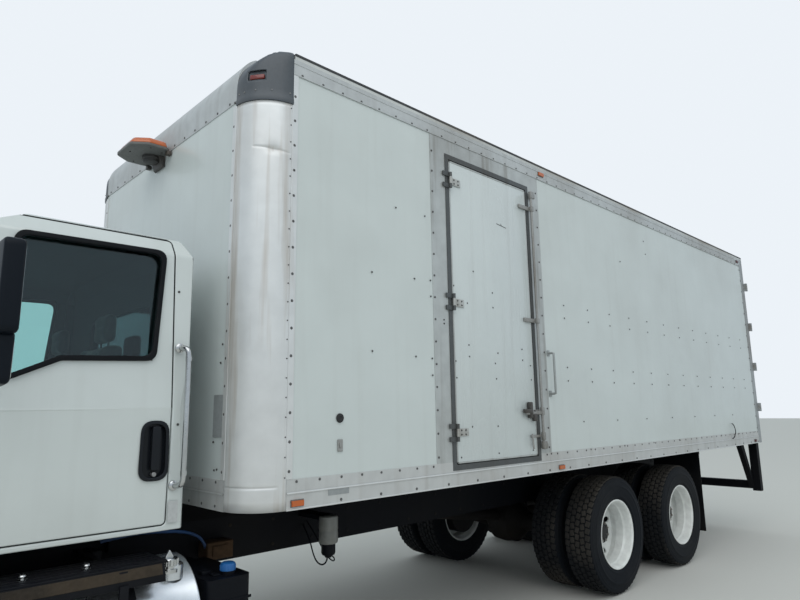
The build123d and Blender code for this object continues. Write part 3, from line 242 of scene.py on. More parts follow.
def pick_faces(test):
    """In edit mode, selects the faces for which test(centre, normal) holds."""
    shape = bmesh.from_edit_mesh(bpy.context.object.data)
    bpy.ops.mesh.select_mode(type="FACE")
    for face in shape.faces:
        face.select_set(bool(test(face.calc_center_median(), face.normal)))
    shape.select_flush_mode()
    bmesh.update_edit_mesh(bpy.context.object.data)


def settle(smooth=30):
    """Leaves the piece at the origin with its place in its mesh, smooth below that angle."""
    bpy.ops.object.transform_apply(location=True, rotation=True, scale=True)
    bpy.ops.object.shade_smooth_by_angle(angle=math.radians(smooth))
    return bpy.context.object


def gather(name, parts):
    """Joins parts into one piece."""
    deselect()
    for part in parts:
        part.select_set(True)
    bpy.context.view_layer.objects.active = parts[0]
    if len(parts) > 1:
        bpy.ops.object.join()
    parts[0].name = name
    parts[0].data.name = name
    return parts[0]


def fit(piece, material, body, slot, *replaced):
    """Paints a piece, sets it on its body and hides the nodes it stands for; slot is not used."""
    piece.data.materials.clear()
    piece.data.materials.append(material)
    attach(piece, body)
    if replaced:
        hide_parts(*replaced)
    return piece


def rivet_row(first, last, pitch, out, radius=0.008):
    """Domed heads from first to last, about a pitch apart, standing out along out."""
    first, last = Vector(first), Vector(last)
    count = max(2, round((last - first).length / pitch) + 1)
    deselect()
    bpy.ops.mesh.primitive_cylinder_add(vertices=8, radius=radius, depth=0.003, location=(0, 0, 0.0012))
    head = bpy.context.object
    bpy.ops.object.mode_set(mode="EDIT")
    pick_faces(lambda centre, normal: normal.z > 0.9)
    bpy.ops.mesh.inset(thickness=radius * 0.45, depth=0.0018)
    pick_faces(lambda centre, normal: normal.z < -0.9)
    bpy.ops.mesh.delete(type="FACE")
    bpy.ops.object.mode_set(mode="OBJECT")
    bpy.ops.object.transform_apply(location=True, rotation=True, scale=True)
    head.rotation_euler = Vector(out).to_track_quat("Z", "Y").to_euler()
    head.location = first
    bpy.ops.object.transform_apply(location=True, rotation=True, scale=True)
    row = head.modifiers.new("row", "ARRAY")
    row.use_relative_offset, row.use_constant_offset = False, True
    row.constant_offset_displace = (last - first) / (count - 1)
    row.count = count
    bpy.ops.object.modifier_apply(modifier="row")
    return settle(50)


side_rows = (
    # x0, z0, x1, z1, pitch, radius, and the sides that have the row
    (2.140, 3.569, -5.230, 3.569, 0.150, 0.0075, (1, -1)),
    (2.140, 1.156, -5.230, 1.156, 0.300, 0.0085, (1, -1)),
    (2.140, 1.276, 1.100, 1.276, 0.150, 0.0075, (1,)),
    (-0.190, 1.276, -5.230, 1.276, 0.150, 0.0075, (1,)),
    (-0.250, 1.280, -5.130, 1.280, 0.610, 0.0075, (1,)),
    (2.140, 1.276, -5.230, 1.276, 0.150, 0.0075, (-1,)),
    (2.188, 1.330, 2.188, 3.421, 0.150, 0.0085, (1, -1)),
    (2.213, 1.300, 2.213, 3.340, 0.100, 0.0040, (1, -1)),
    (1.048, 1.330, 1.048, 3.429, 0.1475, 0.0075, (1,)),
    (-0.229, 1.330, -0.229, 3.420, 0.1475, 0.0075, (1,)),
    (-5.240, 1.330, -5.240, 3.500, 0.150, 0.0075, (1, -1)),
)
# Hand is 1 for what stands on the left and -1 for the right; the sheets' faces are those of the panels.
side_sheet, front_sheet = 1.2945, 2.4295
rivets = []
for x0, z0, x1, z1, pitch, radius, sides in side_rows:
    for hand in sides:
        y = hand * side_sheet
        rivets.append(rivet_row((x0, y, z0), (x1, y, z1), pitch, (0, hand, 0), radius))
for hand in (1, -1):
    low, top = (front_sheet, hand * 1.041, 1.330), (front_sheet, hand * 1.041, 3.396)
    rivets.append(rivet_row(low, top, 0.150, (1, 0, 0), 0.0085))
for z in (1.156, 1.276, 3.410):
    rivets.append(rivet_row((front_sheet, -0.980, z), (front_sheet, 0.980, z), 0.148, (1, 0, 0), 0.0075))
rivet_dirt = finish("rivet_heads", (0.11, 0.11, 0.11), dirt=(0.06, 0.05, 0.04), dust=0.6, mottle=0.5,
                    grain=90, gloss=0.45, metal=0.3)
fit(gather("body_rivets", rivets), rivet_dirt, "chassis", "mill_aluminium")


# Sealed roof edge: a black strip of sealant and tape folded over the roof skin on each side.
# It is the dark line that runs above the top rails, with the rails' own ridges under it.
def slab(x0, x1, y0, y1, z0, z1, edge=0.0, steps=2, smooth=30):
    """A block between six planes, its edges rounded over by edge."""
    deselect()
    bpy.ops.mesh.primitive_cube_add(size=1, location=((x0 + x1) / 2, (y0 + y1) / 2, (z0 + z1) / 2))
    piece = bpy.context.object
    piece.scale = (abs(x1 - x0), abs(y1 - y0), abs(z1 - z0))
    bpy.ops.object.transform_apply(location=True, rotation=True, scale=True)
    if edge:
        bpy.ops.object.mode_set(mode="EDIT")
        bpy.ops.mesh.select_all(action="SELECT")
        bpy.ops.mesh.bevel(offset=edge, segments=steps, affect="EDGES")
        bpy.ops.object.mode_set(mode="OBJECT")
    return settle(smooth)


sealant = finish("roof_sealant", (0.035, 0.037, 0.04), dust=0.35, mottle=0.4, grain=30, gloss=0.55, bump=0.2,
                 bump_depth=0.001)
strips = [slab(-5.360, 2.190, hand * 1.270, hand * 1.2985, 3.676, 3.694, 0.004) for hand in (1, -1)]
fit(gather("roof_edge_seal", strips), sealant, "chassis", "mill_aluminium")


# Top and bottom rails: aluminium extrusions that clamp the panels, the lower one with bright ridges.
# The frame's solids keep their place; the top rails' lips and the bright ridges are added on them.
rail_metal = finish("rail_aluminium", (0.52, 0.54, 0.545), dirt=(0.20, 0.18, 0.16), streaks=0.16, dust=0.30,
                    mottle=0.25, grain=14, gloss=0.42, metal=0.30, bump=0.06, bump_depth=0.001)
sill_metal = finish("sill_aluminium", (0.56, 0.57, 0.57), dirt=(0.24, 0.20, 0.16), streaks=0.22, dust=0.32,
                    mottle=0.2, grain=12, gloss=0.42, metal=0.25, bump=0.06, bump_depth=0.001)
bright_metal = finish("bright_lip", (0.74, 0.75, 0.75), dirt=(0.35, 0.30, 0.25), streaks=0.15, dust=0.2,
                      mottle=0.15, grain=20, gloss=0.30, metal=0.6)
dress(rail_metal, "top_rails")
dress(sill_metal, "bottom_rails")
rail_end, rail_start = -5.255, 2.200
lips = []
for hand in (1, -1):
    lips.append(slab(rail_end, rail_start, hand * 1.294, hand * 1.2985, 3.556, 3.563, 0.001, 1))
    lips.append(slab(rail_end, rail_start, hand * 1.294, hand * 1.2975, 3.626, 3.632, 0.001, 1))
fit(gather("top_rail_lips", lips), rail_metal, "chassis", "mill_aluminium")
ridges = [slab(rail_end, rail_start, hand * 1.294, hand * 1.2985, 1.134, 1.142, 0.001, 1) for hand in (1, -1)]
ridges += [slab(rail_end, rail_start, hand * 1.296, hand * 1.3010, 1.216, 1.225, 0.002, 2)
           for hand in (1, -1)]
ridges.append(slab(2.426, 2.4355, -1.065, 1.065, 1.216, 1.225, 0.002, 2))
fit(gather("sill_ridges", ridges), bright_metal, "chassis", "mill_aluminium")


# Front corner posts: quarter-round extrusions, once polished and now dull with brown run-down dirt.
# Each is spun from its upright edge; the left one keeps its dent and crease and the fold at its foot.
def spun(points, centre, axis, steps, angle=2 * math.pi, merge=0.00005, smooth=30, outward=True):
    """Spins a chain of points round an axis; a full turn is closed and its normals set outwards."""
    deselect()
    shape = bpy.data.meshes.new("spun")
    shape.from_pydata([tuple(point) for point in points], [(i, i + 1) for i in range(len(points) - 1)], [])
    piece = bpy.data.objects.new("spun", shape)
    bpy.context.scene.collection.objects.link(piece)
    bpy.context.view_layer.objects.active = piece
    piece.select_set(True)
    bpy.ops.object.mode_set(mode="EDIT")
    bpy.ops.mesh.select_all(action="SELECT")
    bpy.ops.mesh.spin(steps=steps, angle=angle, center=centre, axis=axis)
    bpy.ops.mesh.select_all(action="SELECT")
    bpy.ops.mesh.remove_doubles(threshold=merge)
    bpy.ops.mesh.normals_make_consistent(inside=not outward)
    bpy.ops.object.mode_set(mode="OBJECT")
    return settle(smooth)


def thicken(piece, depth, offset=-1.0):
    """Gives an open skin its wall."""
    deselect()
    bpy.context.view_layer.objects.active = piece
    piece.select_set(True)
    wall = piece.modifiers.new("wall", "SOLIDIFY")
    wall.thickness, wall.offset = depth, offset
    bpy.ops.object.modifier_apply(modifier="wall")
    return piece


post_metal = finish("post_aluminium", (0.70, 0.715, 0.72), dirt=(0.34, 0.265, 0.20), streaks=0.60, dust=0.20,
                    mottle=0.18, grain=9, gloss=0.36, low_dirt=0.25, dirt_height=2.4, metal=0.35,
                    bump=0.12, bump_depth=0.002)
post_x, post_y, post_radius, post_top = 2.200, 1.065, 0.230, 3.370
levels = [1.136 + 0.05 * i for i in range(45)]
levels += [1.240 + 0.003 * i for i in range(12)] + [3.030 + 0.005 * i for i in range(16)] + [post_top]
levels = sorted(set(round(level, 4) for level in levels if level <= post_top + 0.0001))
posts = []
for hand in (1, -1):
    chain = [(post_x + post_radius, hand * post_y, z) for z in levels]
    post = spun(chain, (post_x, hand * post_y, 0), (0, 0, 1), 36, -hand * math.pi / 2, smooth=60)
    if hand == 1:
        for point in post.data.vertices:
            out = Vector((point.co.x - post_x, point.co.y - post_y, 0))
            turn = math.degrees(math.atan2(out.y, out.x))
            out.normalize()
            high = point.co.z
            dent = 0.010 * math.exp(-((turn - 62) / 9) ** 2 - ((high - 3.075) / 0.022) ** 2)
            if 34 < turn < 86:
                crease_high = 3.090 - (turn - 38) * 0.00052
                dent += 0.004 * math.exp(-((high - crease_high) / 0.006) ** 2)
            if 2 < turn < 76:
                dent += 0.0035 * math.exp(-((high - 1.255) / 0.006) ** 2)
            dent += 0.0012 * noise.noise(Vector((turn * 0.06, high * 1.4, 3.0)))
            point.co -= out * dent
    posts.append(thicken(post, 0.004))
    posts.append(slab(2.425, 2.4325, hand * 1.028, hand * 1.068, 1.290, 3.372, 0.001, 1))
    posts.append(slab(2.166, 2.204, hand * 1.290, hand * 1.2965, 1.290, 3.556, 0.001, 1))
fit(gather("corner_post_skins", posts), post_metal, "chassis", "mill_aluminium", "corner_posts")


# Corner caps: charcoal moulded domes over the posts, with a turned lower lip and a hooded lamp well.
# Each shell is spun and drawn in towards its brow, the well is cut, and lamp and screws are set in.
cap_plastic = finish("cap_charcoal", (0.062, 0.074, 0.088), dirt=(0.16, 0.15, 0.14), streaks=0.12, dust=0.35,
                     mottle=0.25, grain=60, gloss=0.38, bump=0.1, bump_depth=0.001)
lamp_glass = finish("marker_red", (0.18, 0.018, 0.012), dust=0.35, mottle=0.2, grain=120, gloss=0.2, coat=0.5)
screw_metal = finish("small_screws", (0.30, 0.30, 0.30), dust=0.4, mottle=0.3, grain=80, gloss=0.4, metal=0.6)
profile = ((0.230, 3.366), (0.2355, 3.368), (0.2365, 3.374), (0.2365, 3.396), (0.2335, 3.402),
           (0.2330, 3.440), (0.2325, 3.476), (0.2325, 3.500), (0.2325, 3.525), (0.2325, 3.555),
           (0.2325, 3.585), (0.2325, 3.612), (0.2325, 3.636), (0.2325, 3.656), (0.2310, 3.673),
           (0.2260, 3.687), (0.2160, 3.697), (0.2000, 3.7025), (0.1500, 3.7040), (0.0800, 3.7042),
           (0.0, 3.7043))


def one_head(place, out, radius):
    """A single head: the shortest row there is, a tenth of a millimetre long."""
    return rivet_row(place, Vector(place) + Vector((0, 0, 0.0001)), 0.0001, out, radius)


brow_start, brow_high = 3.476, 0.2283
lamp_turn = math.radians(36)
caps, cap_lamps, cap_screws = [], [], []
for hand in (1, -1):
    chain = [(post_x + r, hand * post_y, z) for r, z in profile]
    dome = spun(chain, (post_x, hand * post_y, 0), (0, 0, 1), 32, -hand * math.pi / 2, smooth=50)
    cap = thicken(dome, 0.006)
    for point in cap.data.vertices:
        rise = min(1.0, max(0.0, (point.co.z - brow_start) / brow_high))
        brow = max(0.0001, math.sqrt(1 - rise * rise))
        out = Vector((point.co.x - post_x, point.co.y - hand * post_y))
        if rise > 0 and out.length > 0.0001:
            front, side = out.x / out.length, out.y / out.length
            oval = 1 / math.sqrt((front / brow) ** 2 + side ** 2)
            mitre = min(1.0, brow / max(front, 0.0001))
            share = 0.35 * oval + 0.65 * mitre
            point.co.x, point.co.y = post_x + out.x * share, hand * post_y + out.y * share
    turned = (Matrix.Translation((post_x, hand * post_y, 0)) @ Matrix.Rotation(hand * lamp_turn, 4, "Z")
              @ Matrix.Translation((-post_x, -hand * post_y, 0)))
    mid_y = hand * post_y
    well = slab(post_x + 0.212, post_x + 0.300, mid_y - 0.056, mid_y + 0.056, 3.490, 3.552, 0.012, 3)
    well.data.transform(turned)
    deselect()
    bpy.context.view_layer.objects.active = cap
    cap.select_set(True)
    cut = cap.modifiers.new("well", "BOOLEAN")
    cut.operation, cut.object = "DIFFERENCE", well
    bpy.ops.object.modifier_apply(modifier="well")
    bpy.data.objects.remove(well)
    caps.append(cap)
    back = slab(post_x + 0.196, post_x + 0.213, mid_y - 0.060, mid_y + 0.060, 3.486, 3.556, 0.003, 1)
    back.data.transform(turned)
    caps.append(back)
    lens = slab(post_x + 0.211, post_x + 0.2285, mid_y - 0.044, mid_y + 0.044, 3.497, 3.527, 0.007, 3)
    lens.data.transform(turned)
    cap_lamps.append(lens)
    for turn in (6, 17, 35, 58, 84):
        at = math.radians(turn)
        out = Vector((math.cos(at), hand * math.sin(at), 0))
        start = Vector((post_x, hand * post_y, 3.427)) + out * 0.2325
        cap_screws.append(one_head(start, out, 0.0045))
fit(gather("cap_domes", caps), cap_plastic, "chassis", "cap_composite", "corner_caps")
fit(gather("cap_lamps", cap_lamps), lamp_glass, "chassis", "amber_lens")
fit(gather("cap_screws", cap_screws), screw_metal, "chassis", "mill_aluminium")


# Side door frame: bright flat posts and a header round a darker sill-to-rail frame with its hinge halves,
# whose dark grey is partly its own colour and partly painted shade of the deep door recess.
# The frame node holds all of them, so its faces are sorted by their place round the opening.
frame_grey_and_recess_shade = finish("door_frame_grey", (0.09, 0.097, 0.10), dirt=(0.07, 0.06, 0.05), streaks=0.35,
                          dust=0.35, mottle=0.35, grain=30, gloss=0.45, metal=0.3)
strip_metal = finish("strip_aluminium", (0.50, 0.52, 0.515), dirt=(0.17, 0.15, 0.13), streaks=0.55, dust=0.25,
                     mottle=0.3, grain=10, gloss=0.40, metal=0.4, bump=0.05, bump_depth=0.001)
frame_mesh = cad_nodes["side_door_frame"].data
frame_mesh.materials.clear()
frame_mesh.materials.append(strip_metal)
frame_mesh.materials.append(frame_grey_and_recess_shade)
# Faces round the opening and those standing off the sheet take the dark grey, which carries painted shade of
# the recess.
for face in frame_mesh.polygons:
    round_opening = -0.108 < face.center.x < 0.914 and face.center.z < 3.448
    face.material_index = int(face.center.y > 1.2955 or round_opening)


# Side door: a white sheet leaf with an aluminium edge and a black gasket, hung on three strap hinges.
# The leaf is a rounded slab; edges, gasket and hardware are laid on it as they are on the real door.
door_white = finish("door_white", (0.60, 0.65, 0.66), streaks=0.10, dust=0.08, mottle=0.08, grain=3.5,
                    gloss=0.26, coat=0.2, bump=0.10, bump_depth=0.003)
gasket = finish("door_gasket", (0.015, 0.015, 0.016), dust=0.25, mottle=0.3, grain=60, gloss=0.6)
zinc = finish("zinc_hardware", (0.36, 0.36, 0.35), dirt=(0.12, 0.09, 0.06), streaks=0.4, dust=0.5,
              mottle=0.45, grain=70, gloss=0.45, metal=0.5, bump=0.15, bump_depth=0.0006)
dark_zinc = finish("dark_hardware", (0.08, 0.08, 0.08), dirt=(0.14, 0.09, 0.05), streaks=0.3, dust=0.5,
                   mottle=0.4, grain=80, gloss=0.45, metal=0.5, bump=0.2, bump_depth=0.0006)
leaf = slab(-0.062, 0.868, 1.2555, 1.2945, 1.281, 3.402, 0.004, 2)
fit(leaf, door_white, "side_door", "white_panel", "side_door").name = "side_door_leaf"
edges = []
for x0, x1, z0, z1 in ((-0.065, -0.053, 1.278, 3.405), (0.859, 0.871, 1.278, 3.405),
                       (-0.065, 0.871, 1.278, 1.290), (-0.065, 0.871, 3.393, 3.405)):
    edges.append(slab(x0, x1, 1.2535, 1.2968, z0, z1, 0.0015, 1))
fit(gather("side_door_edges", edges), strip_metal, "side_door", "mill_aluminium")
seals = []
for x0, x1, z0, z1 in ((-0.067, -0.064, 1.276, 3.407), (0.870, 0.873, 1.276, 3.407),
                       (-0.067, 0.873, 1.274, 1.279), (-0.067, 0.873, 3.404, 3.409)):
    seals.append(slab(x0, x1, 1.256, 1.290, z0, z1))
fit(gather("side_door_seal", seals), gasket, "side_door", "black_plastic")


def tube(points, radius, sides=12, smooth=50, round_order=0):
    """A round bar along points, closed at both ends; round_order of 3 bends it smoothly."""
    deselect()
    line = bpy.data.curves.new("bar", "CURVE")
    line.dimensions = "3D"
    line.bevel_depth, line.bevel_resolution = radius, max(0, sides // 4 - 1)
    line.use_fill_caps = True
    run = line.splines.new("NURBS" if round_order else "POLY")
    run.points.add(len(points) - 1)
    for knot, place in zip(run.points, points):
        knot.co = (*place, 1)
    if round_order:
        run.order_u, run.use_endpoint_u, run.resolution_u = round_order, True, 8
    piece = bpy.data.objects.new("bar", line)
    bpy.context.scene.collection.objects.link(piece)
    bpy.context.view_layer.objects.active = piece
    piece.select_set(True)
    bpy.ops.object.convert(target="MESH")
    bpy.ops.object.mode_set(mode="EDIT")
    bpy.ops.mesh.select_all(action="SELECT")
    bpy.ops.mesh.remove_doubles(threshold=0.00005)
    bpy.ops.mesh.normals_make_consistent(inside=False)
    bpy.ops.object.mode_set(mode="OBJECT")
    return settle(smooth)


hinge_straps, hinge_heads = [], []
for z, half_high, reach in ((3.250, 0.0275, 0.115), (2.364, 0.0275, 0.115), (1.480, 0.0253, 0.120)):
    hinge_straps.append(slab(0.871 - reach, 0.868, 1.2950, 1.3025, z - half_high, z + half_high, 0.002, 2))
    hinge_straps.append(slab(0.858, 0.874, 1.2960, 1.3190, z - 0.0255, z + 0.0255, 0.003, 2))
    hinge_straps.append(tube([(0.874, 1.315, z - 0.0255), (0.874, 1.315, z + 0.0255)], 0.0100, 16))
    for x in (0.782, 0.826):
        for dz in (-0.014, 0.014):
            hinge_heads.append(one_head((x, 1.3020, z + dz), (0, 1, 0), 0.0065))
hinge_white = finish("hinge_white", (0.50, 0.51, 0.50), dirt=(0.16, 0.12, 0.08), streaks=0.4, dust=0.4,
                     mottle=0.3, grain=60, gloss=0.4, metal=0.2)
fit(gather("side_door_hinges", hinge_straps), hinge_white, "side_door", "mill_aluminium")
fit(gather("side_door_hinge_heads", hinge_heads), rivet_dirt, "side_door", "mill_aluminium")


# Lock rod of the side door: an upright bar beside the leaf, turned by the handle, with a cam at each end.
# Guides and arms of bent plate hold it to the leaf, and a padlock hangs on the handle's hasp.
lock = [tube([(-0.118, 1.3195, 1.330), (-0.118, 1.3195, 3.400)], 0.0105, 16)]
for z in (3.250, 2.318):
    lock.append(slab(-0.135, -0.102, 1.3075, 1.3330, z - 0.022, z + 0.022, 0.004, 2))
    lock.append(slab(-0.104, 0.040, 1.2950, 1.3100, z - 0.016, z + 0.016, 0.004, 2))
for z in (3.372, 1.352):
    lock.append(slab(-0.150, -0.102, 1.3060, 1.3340, z - 0.030, z + 0.030, 0.006, 2))
    lock.append(slab(-0.172, -0.148, 1.3075, 1.3250, z - 0.024, z + 0.012, 0.004, 2))
for z in (1.610, 1.420):
    lock.append(slab(-0.134, -0.104, 1.3070, 1.3335, z - 0.030, z + 0.030, 0.004, 2))
lock.append(slab(-0.106, 0.060, 1.2950, 1.3060, 1.595, 1.622, 0.003, 2))
lock.append(slab(-0.106, 0.105, 1.3180, 1.3270, 1.585, 1.611, 0.004, 2))
lock.append(slab(-0.106, 0.020, 1.2950, 1.3080, 1.412, 1.432, 0.003, 2))
lock.append(tube([(0.018, 1.312, 1.440), (0.018, 1.316, 1.352), (0.014, 1.318, 1.330)], 0.0070, 12))
fit(gather("side_door_lock", lock), zinc, "side_door", "mill_aluminium")
hasp = [slab(0.020, 0.052, 1.2950, 1.3350, 1.560, 1.680, 0.008, 2),
        slab(0.030, 0.120, 1.3060, 1.3380, 1.598, 1.628, 0.006, 2),
        slab(-0.030, 0.010, 1.3060, 1.3370, 1.535, 1.590, 0.008, 3),
        tube([(-0.020, 1.322, 1.585), (-0.020, 1.324, 1.618), (-0.001, 1.324, 1.618), (-0.001, 1.322, 1.585)],
             0.0045, 10, round_order=3)]
fit(gather("side_door_padlock", hasp), dark_zinc, "side_door", "mill_aluminium")


# Screw heads and a scrape on the side door: what years of shelving inside it have left.
# Small heads sit in the rows and pairs in which they are seen; the scrape is two thin bent lines.
door_marks = ((0.635, 2.617), (0.419, 2.485), (0.419, 2.373), (0.713, 2.375), (0.856, 2.484), (0.711, 2.077),
              (0.708, 1.996), (0.382, 2.037), (0.417, 1.960), (0.076, 2.082), (0.074, 1.999), (0.855, 1.958),
              (0.850, 1.845), (0.411, 1.848), (-0.028, 1.850), (-0.026, 1.960), (0.703, 1.514),
              (0.416, 1.510), (0.827, 1.316), (-0.007, 1.319), (0.417, 1.321))
marks = [one_head((x, 1.2944, z), (0, 1, 0), 0.0058) for x, z in door_marks]
marks.append(tube([(0.332, 1.2950, 3.040), (0.272, 1.2953, 3.034), (0.211, 1.2950, 3.027)], 0.0022, 8))
marks.append(tube([(0.279, 1.2950, 3.050), (0.268, 1.2953, 3.033)], 0.0020, 8))
fit(gather("side_door_screws", marks), rivet_dirt, "side_door", "mill_aluminium")


# Beacon: a flat grey base with an amber dome on it, on a round mount and a foot on the front wall.
# Base and dome are outlines cut to shape and swelled; the mount is turned and its gusset leans on the wall.
def moulding(outlines, low, high, edge=0.0, across=(1, 0, 0), along=(0, 1, 0), at=(0, 0, 0), steps=2,
             smooth=30):
    """A flat piece cut to outlines of (u, v) points, low to high along its normal; later ones are holes."""
    deselect()
    line = bpy.data.curves.new("outline", "CURVE")
    line.dimensions, line.fill_mode = "2D", "BOTH"
    line.extrude = (high - low) / 2 - edge
    line.bevel_depth, line.bevel_resolution, line.offset = edge, steps, -edge
    for outline in outlines:
        run = line.splines.new("POLY")
        run.points.add(len(outline) - 1)
        run.use_cyclic_u = True
        for knot, place in zip(run.points, outline):
            knot.co = (place[0], place[1], 0, 1)
    piece = bpy.data.objects.new("moulding", line)
    bpy.context.scene.collection.objects.link(piece)
    u, v = Vector(across).normalized(), Vector(along).normalized()
    n = u.cross(v)
    piece.matrix_world = (Matrix.Translation(Vector(at) + n * (low + high) / 2)
                          @ Matrix((u, v, n)).transposed().to_4x4())
    bpy.context.view_layer.objects.active = piece
    piece.select_set(True)
    bpy.ops.object.convert(target="MESH")
    bpy.ops.object.mode_set(mode="EDIT")
    bpy.ops.mesh.select_all(action="SELECT")
    bpy.ops.mesh.remove_doubles(threshold=0.00002)
    bpy.ops.mesh.normals_make_consistent(inside=False)
    bpy.ops.object.mode_set(mode="OBJECT")
    return settle(smooth)


def rounded(corners, radius, steps=6):
    """The outline through corners, each rounded by radius."""
    outline = []
    count = len(corners)
    for i, corner in enumerate(corners):
        here = Vector(corner)
        back = Vector(corners[i - 1]) - here
        on = Vector(corners[(i + 1) % count]) - here
        half_turn = back.angle(on) / 2
        reach = min(radius / math.tan(half_turn), 0.48 * back.length, 0.48 * on.length)
        start, end = here + back.normalized() * reach, here + on.normalized() * reach
        for k in range(steps + 1):
            t = k / steps
            outline.append(tuple((1 - t) ** 2 * start + 2 * t * (1 - t) * here + t * t * end))
    return outline


grey_cast = finish("grey_casting", (0.155, 0.158, 0.155), dirt=(0.08, 0.07, 0.06), dust=0.45, mottle=0.55,
                   grain=90, gloss=0.6, bump=0.4, bump_depth=0.0012)
amber_glass = finish("amber_lens", (0.52, 0.105, 0.008), dirt=(0.25, 0.09, 0.03), dust=0.12, mottle=0.15,
                     grain=80, gloss=0.18, coat=0.6, bump=0.08, bump_depth=0.001)
base_outline = rounded(((2.440, -0.188), (2.590, -0.190), (2.686, -0.120), (2.686, 0.120), (2.590, 0.190),
                        (2.440, 0.188)), 0.045)
fit(moulding([base_outline], 3.380, 3.398, 0.003), grey_cast, "chassis", "beacon_grey",
    "beacon").name = "beacon_base"
lens_outline = rounded(((2.448, -0.180), (2.586, -0.182), (2.677, -0.115), (2.677, 0.115), (2.586, 0.182),
                        (2.448, 0.180)), 0.045)
dome = moulding([lens_outline], 3.398, 3.448, 0.010, steps=3)
for point in dome.data.vertices:
    lift = (point.co.z - 3.398) / 0.050
    inward = 0.14 * lift * lift
    point.co.x += (2.470 - point.co.x) * inward
    point.co.y -= point.co.y * inward
fit(dome, amber_glass, "chassis", "amber_lens").name = "beacon_dome"
mount_line = ((0.059, 3.3795), (0.059, 3.362), (0.052, 3.356), (0.050, 3.340), (0.040, 3.336), (0.0, 3.3355))
gusset = rounded(((2.431, 3.379), (2.470, 3.379), (2.446, 3.305), (2.431, 3.300)), 0.004)
mount = [spun([(2.496, r, z) for r, z in mount_line], (2.496, 0, 0), (0, 0, 1), 40),
         moulding([gusset], -0.072, 0.072, 0.002, (1, 0, 0), (0, 0, 1)),
         slab(2.430, 2.436, -0.075, 0.075, 3.300, 3.372, 0.002, 1)]
mount_black = finish("mount_black", (0.035, 0.036, 0.038), dust=0.5, mottle=0.4, grain=60, gloss=0.5)
fit(gather("beacon_mount", mount), mount_black, "chassis", "beacon_grey")
foot = [slab(2.430, 2.462, -0.186, -0.150, 3.352, 3.380, 0.004, 2),
        slab(2.430, 2.462, 0.150, 0.186, 3.352, 3.380, 0.004, 2)]
foot += [rivet_row((x, y, 3.3795), (x, y, 3.3794), 0.0001, (0, 0, -1), 0.005)
         for x, y in ((2.640, 0.0), (2.560, 0.150), (2.560, -0.150), (2.470, 0.120), (2.470, -0.120))]
fit(gather("beacon_feet", foot), dark_zinc, "chassis", "beacon_grey")


# Marker lamps: amber at the front and middle of each side, red at the rear, each in a grey base.
# The frame's lamps keep their place and take their colour by where they stand; bases are set behind them.
red_glass = finish("red_lens", (0.085, 0.006, 0.006), dust=0.06, mottle=0.15, grain=100, gloss=0.25,
                   shine=0.3)
lamp_mesh = cad_nodes["marker_lamps"].data
lamp_mesh.materials.clear()
lamp_mesh.materials.append(amber_glass)
lamp_mesh.materials.append(red_glass)
for face in lamp_mesh.polygons:
    face.material_index = int(face.center.x < -4.9)
bases = []
for hand in (1, -1):
    for x, z in ((2.135, 1.168), (-0.385, 1.168), (-5.105, 1.168), (-0.320, 3.610), (-5.165, 3.610)):
        bases.append(slab(x - 0.042, x + 0.042, hand * 1.2948, hand * 1.2985, z - 0.019, z + 0.019, 0.002, 1))
for y in (-1.180, -0.190, 0.0, 0.190, 1.180):
    bases.append(slab(-5.3685, -5.3645, y - 0.038, y + 0.038, 3.590, 3.630, 0.001, 1))
fit(gather("lamp_bases", bases), grey_cast, "chassis", "black_plastic")


# Small fittings of the walls: a round socket, a lock plate, bare plates, and rows of old screws.
# Each stands where the photo has it; the plates are thin sheet and the screws small domed heads.
socket = spun([(1.855, 1.2948, 1.621), (1.855, 1.2990, 1.620), (1.855, 1.3010, 1.616), (1.855, 1.3010, 1.606),
               (1.855, 1.2985, 1.603), (1.855, 1.2985, 1.595)], (1.855, 0, 1.595), (0, 1, 0), 28)
fit(socket, gasket, "chassis", "black_plastic").name = "wall_socket"
lock_plate = [slab(1.835, 1.872, 1.2948, 1.2975, 1.412, 1.478, 0.001, 1),
              slab(1.848, 1.860, 1.2970, 1.3030, 1.432, 1.462, 0.003, 2)]
fit(gather("wall_lock", lock_plate), zinc, "chassis", "mill_aluminium")
plates = [slab(1.790, 1.935, 1.2955, 1.2975, 1.185, 1.218, 0.0008, 1),
          slab(2.4300, 2.4312, 0.925, 1.045, 1.506, 1.728, 0.0003, 1)]
plate_grey = finish("plate_grey", (0.30, 0.32, 0.33), dust=0.3, mottle=0.3, grain=50, gloss=0.5)
fit(gather("blank_plates", plates), plate_grey, "chassis", "mill_aluminium")
screws = [(1.610, 2.470), (1.610, 1.985), (1.240, 2.480), (1.240, 1.970), (1.400, 2.930), (1.130, 2.930),
          (0.963, 2.233), (0.963, 2.207), (-1.667, 3.056), (-2.237, 3.369), (-2.260, 3.231)]
screws += [(-0.567 - 0.397 * i, z) for i in range(12) for z in (2.495, 2.385, 1.966, 1.854)]
screws += [(-0.775 - 0.598 * i, 1.515) for i in range(7)]
screws += [(1.088, z) for z in (2.489, 2.380, 1.965, 1.855)]
heads = [one_head((x, side_sheet, z), (0, 1, 0), 0.0060) for x, z in screws]
heads += [one_head((2.4298, y, z), (1, 0, 0), 0.006)
          for y, z in ((1.000, 2.000), (0.985, 1.900), (0.935, 1.480), (0.985, 1.340), (0.955, 1.335))]
fit(gather("wall_screws", heads), rivet_dirt, "chassis", "mill_aluminium")


